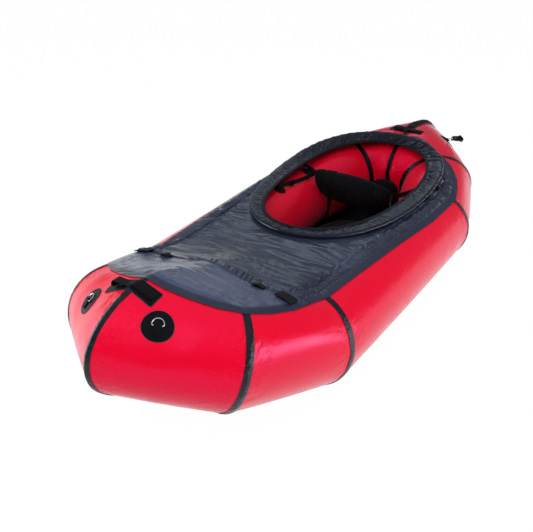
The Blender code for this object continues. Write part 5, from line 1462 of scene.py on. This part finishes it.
def make_bundle():
    """A soft stuffed bag standing on the floor, its cloth drawn in by two straps."""
    mesh = puffed("stowed_bundle", 0.005, size("cushion_pressure") * 0.75,
                  size("cushion_movement"))
    low, high = (np.array(corner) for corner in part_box("stowed_bundle"))

    def shift(points, normals):
        height = (points[:, 2] - low[2]) / (high[2] - low[2])
        turn = np.arctan2(points[:, 1] - (low[1] + high[1]) / 2,
                          points[:, 0] - (low[0] + high[0]) / 2)
        bands = sum(-0.0042 * np.exp(-((height - place) / 0.030) ** 2) for place in (0.30, 0.68))
        tucks = 0.0026 * folds(turn * 3.2, height * 2.6, seed=66) * smooth_step(0.02, 0.12, height)
        fine = 0.0009 * noise(turn * 9, height * 14, seed=67)
        return bands + tucks + fine

    sculpt(mesh, shift)
    piece = add_piece("stowed_bundle_cloth", mesh, "fabric", replaces=["stowed_bundle"])
    return piece


# Small hardware

def make_hardware():
    """Anchors and straps: the frame's own pieces with their edges rounded; the stern buckle made
    chunkier, and the other buckles and the valves given the plastic finish.
    """
    for side in ("port", "starboard"):
        for which in ("front", "rear"):
            refined("%s_anchor_patch_%s" % (which, side), "%s_anchor_%s" % (which, side),
                    "webbing")
            refined("%s_strap_%s" % (which, side), "%s_strap_%s_webbing" % (which, side),
                    "webbing")
    make_stern_buckle()
    for name in ("strap_buckle_port", "strap_buckle_starboard", "valve_base", "valve_cap",
                 "seat_valve"):
        node = NODES[name]
        node.data.materials.clear()
        node.data.materials.append(FINISHES["plastic"])


# Materials

def shader_of(name, colour, roughness, metallic=0.0, **inputs):
    finish = bpy.data.materials.new(name)
    finish.use_nodes = True
    shader = finish.node_tree.nodes["Principled BSDF"]
    shader.inputs["Base Color"].default_value = (*colour, 1.0)
    shader.inputs["Roughness"].default_value = roughness
    shader.inputs["Metallic"].default_value = metallic
    for label, value in inputs.items():
        shader.inputs[label.replace("_", " ")].default_value = value
    return finish


def new_group(name, inputs, outputs):
    """A shader node group with named number, vector or colour sockets."""
    group = bpy.data.node_groups.new(name, "ShaderNodeTree")
    kinds = {"value": "NodeSocketFloat", "vector": "NodeSocketVector", "colour": "NodeSocketColor"}
    for label, kind, default in inputs:
        socket = group.interface.new_socket(label, in_out="INPUT", socket_type=kinds[kind])
        if default is not None:
            socket.default_value = default
    for label, kind in outputs:
        group.interface.new_socket(label, in_out="OUTPUT", socket_type=kinds[kind])
    return group, group.nodes.new("NodeGroupInput"), group.nodes.new("NodeGroupOutput")


def arithmetic(nodes, links, operation, first, second, clamp=False):
    node = nodes.new("ShaderNodeMath")
    node.operation = operation
    node.use_clamp = clamp
    for slot, value in zip(node.inputs, (first, second)):
        if isinstance(value, (int, float)):
            slot.default_value = value
        else:
            links.new(value, slot)
    return node.outputs[0]


def build_creases():
    """Creases and ripples of thin coated cloth, as a height from 0 to 1."""
    group, given, result = new_group(
        "cloth_creases", [("Vector", "vector", None), ("Long", "value", 18.0),
                          ("Fine", "value", 70.0), ("Fine share", "value", 0.35)],
        [("Height", "value")])
    nodes, links = group.nodes, group.links
    vector = given.outputs["Vector"]

    def ridges(scale, detail):
        texture = nodes.new("ShaderNodeTexNoise")
        texture.inputs["Detail"].default_value = detail
        texture.inputs["Distortion"].default_value = 0.6
        links.new(vector, texture.inputs["Vector"])
        links.new(scale, texture.inputs["Scale"])
        centred = arithmetic(nodes, links, "SUBTRACT", texture.outputs["Fac"], 0.5)
        away = arithmetic(nodes, links, "ABSOLUTE", centred, 0.0)
        return arithmetic(nodes, links, "MULTIPLY", away, 4.0, clamp=True)

    long_ridges = ridges(given.outputs["Long"], 1.5)
    fine_ridges = ridges(given.outputs["Fine"], 2.0)
    fine_part = arithmetic(nodes, links, "MULTIPLY", fine_ridges, given.outputs["Fine share"])
    total = arithmetic(nodes, links, "ADD", long_ridges, fine_part)
    links.new(total, result.inputs["Height"])
    return group


def build_weave():
    """Plain weave from a surface's own metres: thread height from 0 to 1."""
    group, given, result = new_group(
        "plain_weave", [("Vector", "vector", None), ("Threads per metre", "value", 900.0)],
        [("Height", "value")])
    nodes, links = group.nodes, group.links
    split = nodes.new("ShaderNodeSeparateXYZ")
    links.new(given.outputs["Vector"], split.inputs[0])

    def threads(socket):
        turns = arithmetic(nodes, links, "MULTIPLY", socket, given.outputs["Threads per metre"])
        waves = arithmetic(nodes, links, "SINE", arithmetic(nodes, links, "MULTIPLY", turns,
                                                            math.pi), 0.0)
        return arithmetic(nodes, links, "ABSOLUTE", waves, 0.0)

    height = arithmetic(nodes, links, "MULTIPLY", threads(split.outputs[0]),
                        threads(split.outputs[1]))
    links.new(height, result.inputs["Height"])
    return group


def build_dust():
    """Soft uneven patches of lighter, duller surface, as a mask from 0 to 1."""
    group, given, result = new_group(
        "handling_dust", [("Vector", "vector", None), ("Size", "value", 9.0)],
        [("Mask", "value")])
    nodes, links = group.nodes, group.links
    texture = nodes.new("ShaderNodeTexNoise")
    texture.inputs["Detail"].default_value = 5.0
    links.new(given.outputs["Vector"], texture.inputs["Vector"])
    links.new(given.outputs["Size"], texture.inputs["Scale"])
    spread = nodes.new("ShaderNodeMapRange")
    spread.inputs["From Min"].default_value = 0.42
    spread.inputs["From Max"].default_value = 0.68
    links.new(texture.outputs["Fac"], spread.inputs["Value"])
    links.new(spread.outputs["Result"], result.inputs["Mask"])
    return group


GROUPS = {}
FINISHES = {}


class Recipe:
    """A material's nodes, with short calls for the steps that the finishes share."""

    def __init__(self, finish):
        self.nodes, self.links = finish.node_tree.nodes, finish.node_tree.links
        self.shader = self.nodes["Principled BSDF"]
        self.places = self.nodes.new("ShaderNodeTexCoord")

    def coordinates(self, stretch=(1, 1, 1), turn=0.0, kind="Object"):
        mapping = self.nodes.new("ShaderNodeMapping")
        mapping.inputs["Scale"].default_value = stretch
        mapping.inputs["Rotation"].default_value = (0, 0, turn)
        self.links.new(self.places.outputs[kind], mapping.inputs["Vector"])
        return mapping.outputs["Vector"]

    def group(self, name, vector, output, **values):
        node = self.nodes.new("ShaderNodeGroup")
        node.node_tree = GROUPS[name]
        self.links.new(vector, node.inputs["Vector"])
        for label, value in values.items():
            node.inputs[label.replace("_", " ")].default_value = value
        return node.outputs[output]

    def times(self, first, second):
        return arithmetic(self.nodes, self.links, "MULTIPLY", first, second)

    def plus(self, first, second):
        return arithmetic(self.nodes, self.links, "ADD", first, second)

    def attribute(self, name):
        node = self.nodes.new("ShaderNodeAttribute")
        node.attribute_name = name
        return node.outputs["Fac"]

    def share(self, vector, axis, start, end):
        """How far one coordinate has come from start to end, from 0 to 1."""
        split = self.nodes.new("ShaderNodeSeparateXYZ")
        self.links.new(vector, split.inputs[0])
        spread = self.nodes.new("ShaderNodeMapRange")
        spread.inputs["From Min"].default_value = start
        spread.inputs["From Max"].default_value = end
        self.links.new(split.outputs[axis], spread.inputs["Value"])
        return spread.outputs["Result"]

    def bump(self, height, distance, strength=1.0):
        node = self.nodes.new("ShaderNodeBump")
        node.inputs["Strength"].default_value = strength
        node.inputs["Distance"].default_value = distance
        self.links.new(height, node.inputs["Height"])
        self.links.new(node.outputs["Normal"], self.shader.inputs["Normal"])
        return node

    def colour_between(self, mask, low, high):
        node = self.nodes.new("ShaderNodeMix")
        node.data_type = "RGBA"
        node.inputs["A"].default_value = (*low, 1)
        node.inputs["B"].default_value = (*high, 1)
        self.links.new(mask, node.inputs["Factor"])
        self.links.new(node.outputs["Result"], self.shader.inputs["Base Color"])

    def roughness_between(self, mask, low, high):
        node = self.nodes.new("ShaderNodeMapRange")
        node.inputs["To Min"].default_value = low
        node.inputs["To Max"].default_value = high
        self.links.new(mask, node.inputs["Value"])
        self.links.new(node.outputs["Result"], self.shader.inputs["Roughness"])


def make_red_fabric():
    finish = shader_of("red_coated_fabric", colour("red"), 0.22, Specular_IOR_Level=0.50,
                       Specular_Tint=(1.0, 0.24, 0.74, 1.0), Sheen_Weight=0.06,
                       Sheen_Roughness=0.45, Sheen_Tint=(0.72, 0.62, 1.0, 1.0))
    recipe = Recipe(finish)
    vector = recipe.coordinates()
    near = recipe.attribute("near_seam")
    creases = recipe.group("cloth_creases", vector, "Height", Long=22.0, Fine=85.0,
                           Fine_share=0.3)
    amount = recipe.plus(recipe.times(near, 0.95), 0.05)
    weave = recipe.group("plain_weave", recipe.coordinates(kind="UV"), "Height",
                         Threads_per_metre=1400.0)
    recipe.bump(recipe.plus(recipe.times(creases, amount), recipe.times(weave, 0.004)), 0.0022)
    dust = recipe.group("handling_dust", vector, "Mask", Size=14.0)
    recipe.roughness_between(dust, 0.20, 0.30)
    return finish


def make_deck_nylon(name, low, high, relief, lit_fore_panel=False):
    finish = shader_of(name, low, 0.40, Specular_IOR_Level=0.60 if lit_fore_panel else 0.34,
                       Sheen_Weight=0.02, Sheen_Tint=(0.7, 0.78, 1.0, 1.0))
    recipe = Recipe(finish)
    across = recipe.group("cloth_creases", recipe.coordinates((0.35, 1.4, 0.8)), "Height",
                          Long=13.0, Fine=48.0, Fine_share=0.10)
    dust = recipe.group("handling_dust", recipe.coordinates(), "Mask", Size=8.0)
    recipe.bump(across, relief)
    if lit_fore_panel:
        # Painted light: ahead of the casing the deck is mixed towards the lighter colour, which
        # stands in for the light its fore panel catches. The dust mask adds real lighter patches.
        # The first 22 to 29 mm in from the hem is kept out of both, so the hem keeps the darker base
        # colour.
        ahead = recipe.share(recipe.coordinates(), 1, -0.700, -0.730)
        inside = recipe.share(recipe.coordinates(kind="UV"), 1, 0.022, 0.029)
        mask = recipe.times(recipe.plus(recipe.times(ahead, 0.55), recipe.times(dust, 0.25)),
                            inside)
        recipe.colour_between(mask, low, high)
    else:
        recipe.colour_between(dust, low, high)
    recipe.roughness_between(dust, 0.24, 0.34)
    return finish


def make_tape_film():
    finish = shader_of("black_tape", colour("tape"), 0.27, Specular_IOR_Level=0.42)
    recipe = Recipe(finish)
    creases = recipe.group("cloth_creases", recipe.coordinates(), "Height", Long=45.0, Fine=160.0,
                           Fine_share=0.3)
    recipe.bump(creases, 0.0016)
    return finish


def make_patch_film():
    """Patch cloth with a paler band at its edge; U holds the distance from the middle."""
    finish = shader_of("black_patch", colour("patch"), 0.45,
                       Specular_IOR_Level=0.12)
    recipe = Recipe(finish)
    split = recipe.nodes.new("ShaderNodeSeparateXYZ")
    recipe.links.new(recipe.places.outputs["UV"], split.inputs[0])
    edge = recipe.nodes.new("ShaderNodeMapRange")
    edge.inputs["From Min"].default_value = 0.0370
    edge.inputs["From Max"].default_value = 0.0382
    recipe.links.new(split.outputs[0], edge.inputs["Value"])
    recipe.colour_between(edge.outputs["Result"], colour("patch"),
                          (0.035, 0.037, 0.048))
    weave = recipe.group("cloth_creases", recipe.coordinates(), "Height", Long=60.0, Fine=300.0,
                         Fine_share=0.5)
    recipe.bump(weave, 0.0004)
    return finish


def make_webbing():
    finish = shader_of("black_webbing", colour("webbing"), 0.70,
                       Specular_IOR_Level=0.15, Sheen_Weight=0.03)
    recipe = Recipe(finish)
    weave = recipe.group("plain_weave", recipe.coordinates((1.0, 2.0, 1.0), kind="UV"), "Height",
                         Threads_per_metre=420.0)
    recipe.bump(weave, 0.0005, 0.8)
    return finish


def make_cushion_cloth():
    finish = shader_of("black_cushion_cloth", colour("cushion"), 0.75,
                       Specular_IOR_Level=0.12, Sheen_Weight=0.02)
    recipe = Recipe(finish)
    creases = recipe.group("cloth_creases", recipe.coordinates(), "Height", Long=20.0, Fine=420.0,
                           Fine_share=0.15)
    recipe.bump(creases, 0.0018)
    return finish


def make_finishes():
    GROUPS["cloth_creases"] = build_creases()
    GROUPS["plain_weave"] = build_weave()
    GROUPS["stitch_row"] = build_stitches()
    GROUPS["handling_dust"] = build_dust()
    FINISHES["red"] = make_red_fabric()
    # The deck finish carries painted light, a lighter fore panel ahead of the casing.
    FINISHES["deck"] = make_deck_nylon("deck_nylon", colour("deck"), colour("fore_deck"), 0.0014,
                                       lit_fore_panel=True)
    FINISHES["band"] = make_deck_nylon(
        "coaming_nylon", colour("coaming"), tuple(1.64 * level for level in colour("coaming")),
        0.0010)
    FINISHES["floor"] = shader_of("floor_fabric", (0.008, 0.009, 0.012), 0.45,
                                  Specular_IOR_Level=0.25)
    FINISHES["tape"] = make_tape_film()
    FINISHES["patch"] = make_patch_film()
    FINISHES["webbing"] = make_webbing()
    FINISHES["binding"] = shader_of("black_binding", (0.0025, 0.0025, 0.0040), 0.55,
                                    Specular_IOR_Level=0.25)
    FINISHES["fabric"] = make_cushion_cloth()
    FINISHES["plastic"] = shader_of("black_plastic", colour("plastic"), 0.26)
    FINISHES["thread"] = shader_of("black_thread", (0.0015, 0.0015, 0.0025), 0.60,
                                   Specular_IOR_Level=0.20)
    FINISHES["steel"] = shader_of("polished_steel", colour("steel"), 0.15, 1.0)


# Stage

def make_white_floor():
    """White to the camera and in reflections, with the object's shadow laid over it."""
    white = bpy.data.materials.new("white_floor")
    white.use_nodes = True
    nodes, links = white.node_tree.nodes, white.node_tree.links
    diffuse = nodes["Principled BSDF"]
    diffuse.inputs["Base Color"].default_value = (0.80, 0.80, 0.80, 1)
    diffuse.inputs["Roughness"].default_value = 1.0
    diffuse.inputs["Specular IOR Level"].default_value = 0.0
    glow = nodes.new("ShaderNodeEmission")
    glow.inputs["Strength"].default_value = 1.02
    path = nodes.new("ShaderNodeLightPath")
    seen = arithmetic(nodes, links, "MAXIMUM", path.outputs["Is Camera Ray"],
                      path.outputs["Is Glossy Ray"])
    seen = arithmetic(nodes, links, "MAXIMUM", seen, path.outputs["Is Transmission Ray"])
    share = arithmetic(nodes, links, "MULTIPLY", seen, 0.965)
    mix = nodes.new("ShaderNodeMixShader")
    links.new(share, mix.inputs["Fac"])
    links.new(diffuse.outputs["BSDF"], mix.inputs[1])
    links.new(glow.outputs["Emission"], mix.inputs[2])
    links.new(mix.outputs["Shader"], nodes["Material Output"].inputs["Surface"])
    return white


def make_world():
    """White behind the object; for the light itself, a bright horizon, a darker belt over it
    and a soft ceiling."""
    world = bpy.data.worlds.new("studio")
    bpy.context.scene.world = world
    world.use_nodes = True
    nodes, links = world.node_tree.nodes, world.node_tree.links
    background = nodes["Background"]
    places = nodes.new("ShaderNodeTexCoord")
    split = nodes.new("ShaderNodeSeparateXYZ")
    links.new(places.outputs["Generated"], split.inputs[0])
    ramp = nodes.new("ShaderNodeValToRGB")
    stops = ramp.color_ramp.elements
    stops[0].position, stops[0].color = 0.0, (0.9, 0.9, 0.92, 1)
    stops[1].position, stops[1].color = 1.0, (0.62, 0.65, 0.72, 1)
    for place, level in ((0.04, 0.60), (0.09, 0.16), (0.50, 0.16), (0.80, 0.40)):
        stop = stops.new(place)
        stop.color = (level * 0.97, level * 0.99, level * 1.05, 1)
    links.new(split.outputs[2], ramp.inputs["Fac"])
    path = nodes.new("ShaderNodeLightPath")
    mix = nodes.new("ShaderNodeMix")
    mix.data_type = "RGBA"
    links.new(path.outputs["Is Camera Ray"], mix.inputs["Factor"])
    links.new(ramp.outputs["Color"], mix.inputs["A"])
    mix.inputs["B"].default_value = (1, 1, 1, 1)
    links.new(mix.outputs["Result"], background.inputs["Color"])
    background.inputs["Strength"].default_value = 1.0


def make_lamp(name, place, aim, extent, power, tint=(1, 1, 1), in_gloss=True):
    data = bpy.data.lights.new(name, "AREA")
    data.shape = "RECTANGLE"
    data.size, data.size_y = extent
    data.energy = power
    light = bpy.data.objects.new(name, data)
    light.location = place
    light.visible_glossy = in_gloss
    data.color = tint
    light.rotation_euler = (Vector(aim) - Vector(place)).to_track_quat("-Z", "Y").to_euler()
    bpy.context.scene.collection.objects.link(light)
    return light


def make_stage():
    scene = bpy.context.scene
    scene.view_settings.view_transform = "Standard"
    bpy.ops.mesh.primitive_plane_add(size=60)
    floor = bpy.context.object
    floor.name = "white_floor"
    floor.data.materials.append(make_white_floor())
    make_world()
    lamps = [make_lamp("port_softbox", (3.3, 0.2, 0.62), (0, 0.1, 0.2), (3.2, 0.8), 56,
                       (1.0, 0.90, 1.0)),
             make_lamp("starboard_softbox", (-2.9, -1.9, 0.9), (0, -0.3, 0.2), (2.2, 1.0), 54,
                       (0.92, 0.92, 1.0)),
             make_lamp("bow_softbox", (0.3, -2.5, 3.3), (0, -0.5, 0.2), (3.0, 2.4), 100,
                       in_gloss=False),
             make_lamp("stern_strip_light", (-2.3, 3.6, 2.5), (0, 0, 0.3), (3.4, 0.55), 11.5,
                       (0.72, 0.84, 1.0))]


def make_camera():
    data = bpy.data.cameras.new("photo_camera")
    camera = bpy.data.objects.new("photo_camera", data)
    bpy.context.scene.collection.objects.link(camera)
    forward = Vector((-0.46860, 0.73883, -0.48432)).normalized()
    right = forward.cross(Vector((0, 0, 1))).normalized()
    up = right.cross(forward)
    roll = 0.0037
    turned_right = right * math.cos(roll) + up * math.sin(roll)
    turned_up = up * math.cos(roll) - right * math.sin(roll)
    rotation = Matrix((turned_right, turned_up, -forward)).transposed().to_4x4()
    camera.matrix_world = Matrix.Translation((0.9343, -1.8929, 1.1900)) @ rotation
    data.sensor_width = SENSOR_MM
    data.lens = FOCAL_PIXELS / IMAGE_WIDTH * SENSOR_MM
    data.clip_end = 200
    bpy.context.scene.camera = camera


# Operators

class PACKRAFT_OT_finishes(Operator):
    """Make the materials of every cloth, tape and fitting"""
    bl_idname = "packraft.finishes"
    bl_label = "Finishes"

    def execute(self, context):
        make_finishes()
        return {"FINISHED"}


class PACKRAFT_OT_tubes(Operator):
    """Make the ten red skins of the hull"""
    bl_idname = "packraft.tubes"
    bl_label = "Tubes"

    def execute(self, context):
        for panel in range(COUNT):
            make_tube(panel)
        return {"FINISHED"}


class PACKRAFT_OT_tapes(Operator):
    """Make the tapes round the seams"""
    bl_idname = "packraft.tapes"
    bl_label = "Seam tapes"

    def execute(self, context):
        for index in range(COUNT):
            make_tape(index)
        return {"FINISHED"}


class PACKRAFT_OT_floor(Operator):
    """Make the floor sheet under the tubes"""
    bl_idname = "packraft.floor"
    bl_label = "Floor"

    def execute(self, context):
        make_floor()
        return {"FINISHED"}


class PACKRAFT_OT_coaming(Operator):
    """Make the cockpit rim: its hoop, the cloth over it and the binding"""
    bl_idname = "packraft.coaming"
    bl_label = "Coaming"

    def execute(self, context):
        make_band()
        make_binding()
        make_hoop()
        return {"FINISHED"}


class PACKRAFT_OT_deck(Operator):
    """Make the spray deck with its casings and stitches"""
    bl_idname = "packraft.deck"
    bl_label = "Spray deck"

    def execute(self, context):
        make_deck()
        make_stitches("deck_stitches", make_side_casings() + make_fore_casing())
        return {"FINISHED"}


class PACKRAFT_OT_deck_loops(Operator):
    """Make the four flat lashing loops on the fore deck"""
    bl_idname = "packraft.deck_loops"
    bl_label = "Deck loops"

    def execute(self, context):
        for side, side_name in ((1, "port"), (-1, "starboard")):
            make_deck_loop("wide_deck_loop_" + side_name, side * 0.248, 0.050, 0.040,
                           side * -3.0, 0.0006)
            make_deck_loop("narrow_deck_loop_" + side_name, side * 0.162, 0.036, 0.022,
                           side * 12.0, 0.0050)
        return {"FINISHED"}


class PACKRAFT_OT_rings(Operator):
    """Make the lashing rings with their round patches and tabs"""
    bl_idname = "packraft.rings"
    bl_label = "Lashing rings"

    def execute(self, context):
        for place in RING_PLACES:
            make_ring_patch(place)
            make_ring(place)
        return {"FINISHED"}


class PACKRAFT_OT_handles(Operator):
    """Make the two carrying handles on their patches"""
    bl_idname = "packraft.handles"
    bl_label = "Handles"

    def execute(self, context):
        make_handle("bow", -0.012, -1.003)
        make_handle("stern", -0.006, 0.795)
        return {"FINISHED"}


class PACKRAFT_OT_stern_strip(Operator):
    """Make the strip and its webbing along the stern seam"""
    bl_idname = "packraft.stern_strip"
    bl_label = "Stern strip"

    def execute(self, context):
        make_stern_strip()
        return {"FINISHED"}


class PACKRAFT_OT_backrest(Operator):
    """Make the padded backrest"""
    bl_idname = "packraft.backrest"
    bl_label = "Backrest"

    def execute(self, context):
        make_backrest()
        return {"FINISHED"}


class PACKRAFT_OT_seat(Operator):
    """Make the seat cushion"""
    bl_idname = "packraft.seat"
    bl_label = "Seat"

    def execute(self, context):
        make_seat()
        return {"FINISHED"}


class PACKRAFT_OT_bundle(Operator):
    """Make the stowed bundle behind the backrest"""
    bl_idname = "packraft.bundle"
    bl_label = "Stowed bundle"

    def execute(self, context):
        make_bundle()
        return {"FINISHED"}


class PACKRAFT_OT_hardware(Operator):
    """Make straps, anchors, buckles and valves"""
    bl_idname = "packraft.hardware"
    bl_label = "Straps and buckles"

    def execute(self, context):
        make_hardware()
        return {"FINISHED"}


class PACKRAFT_OT_sheets(Operator):
    bl_idname = "packraft.sheets"
    bl_label = "Sheet sizes"

    def execute(self, context):
        return {"FINISHED"}


class PACKRAFT_OT_stage(Operator):
    """Make the white floor, the world, the lamps and the camera"""
    bl_idname = "packraft.stage"
    bl_label = "Stage"

    def execute(self, context):
        make_stage()
        make_camera()
        return {"FINISHED"}


OPERATORS = (
    PACKRAFT_OT_finishes, PACKRAFT_OT_tubes, PACKRAFT_OT_tapes, PACKRAFT_OT_floor,
    PACKRAFT_OT_coaming, PACKRAFT_OT_deck, PACKRAFT_OT_deck_loops, PACKRAFT_OT_rings,
    PACKRAFT_OT_handles, PACKRAFT_OT_stern_strip, PACKRAFT_OT_backrest, PACKRAFT_OT_seat,
    PACKRAFT_OT_bundle, PACKRAFT_OT_hardware, PACKRAFT_OT_sheets, PACKRAFT_OT_stage,
)


class PACKRAFT_PT_sidebar(Panel):
    """Colours, sizes and the steps that build the packraft"""
    bl_idname = "PACKRAFT_PT_sidebar"
    bl_label = "Packraft"
    bl_space_type = "VIEW_3D"
    bl_region_type = "UI"
    bl_category = "Packraft"

    def draw(self, context):
        settings = context.scene.packraft
        for group in (settings.colours, settings.sizes):
            box = self.layout.box()
            for name in group.__annotations__:
                box.prop(group, name)
        column = self.layout.column(align=True)
        for operator in OPERATORS:
            column.operator(operator.bl_idname)


CLASSES = (PackraftColours, PackraftSizes, PackraftSettings, *OPERATORS, PACKRAFT_PT_sidebar)


def register():
    for item in CLASSES:
        bpy.utils.register_class(item)
    bpy.types.Scene.packraft = PointerProperty(name="Packraft", description="Packraft settings",
                                               type=PackraftSettings)


def unregister():
    del bpy.types.Scene.packraft
    for item in reversed(CLASSES):
        bpy.utils.unregister_class(item)


def main():
    register()
    bpy.ops.packraft.finishes()
    bpy.ops.packraft.tubes()
    bpy.ops.packraft.tapes()
    bpy.ops.packraft.floor()
    bpy.ops.packraft.coaming()
    bpy.ops.packraft.deck()
    bpy.ops.packraft.rings()
    bpy.ops.packraft.handles()
    bpy.ops.packraft.stern_strip()
    bpy.ops.packraft.deck_loops()
    bpy.ops.packraft.backrest()
    bpy.ops.packraft.seat()
    bpy.ops.packraft.bundle()
    bpy.ops.packraft.hardware()
    bpy.ops.packraft.sheets()
    bpy.ops.packraft.stage()


if __name__ == "__main__":
    main()
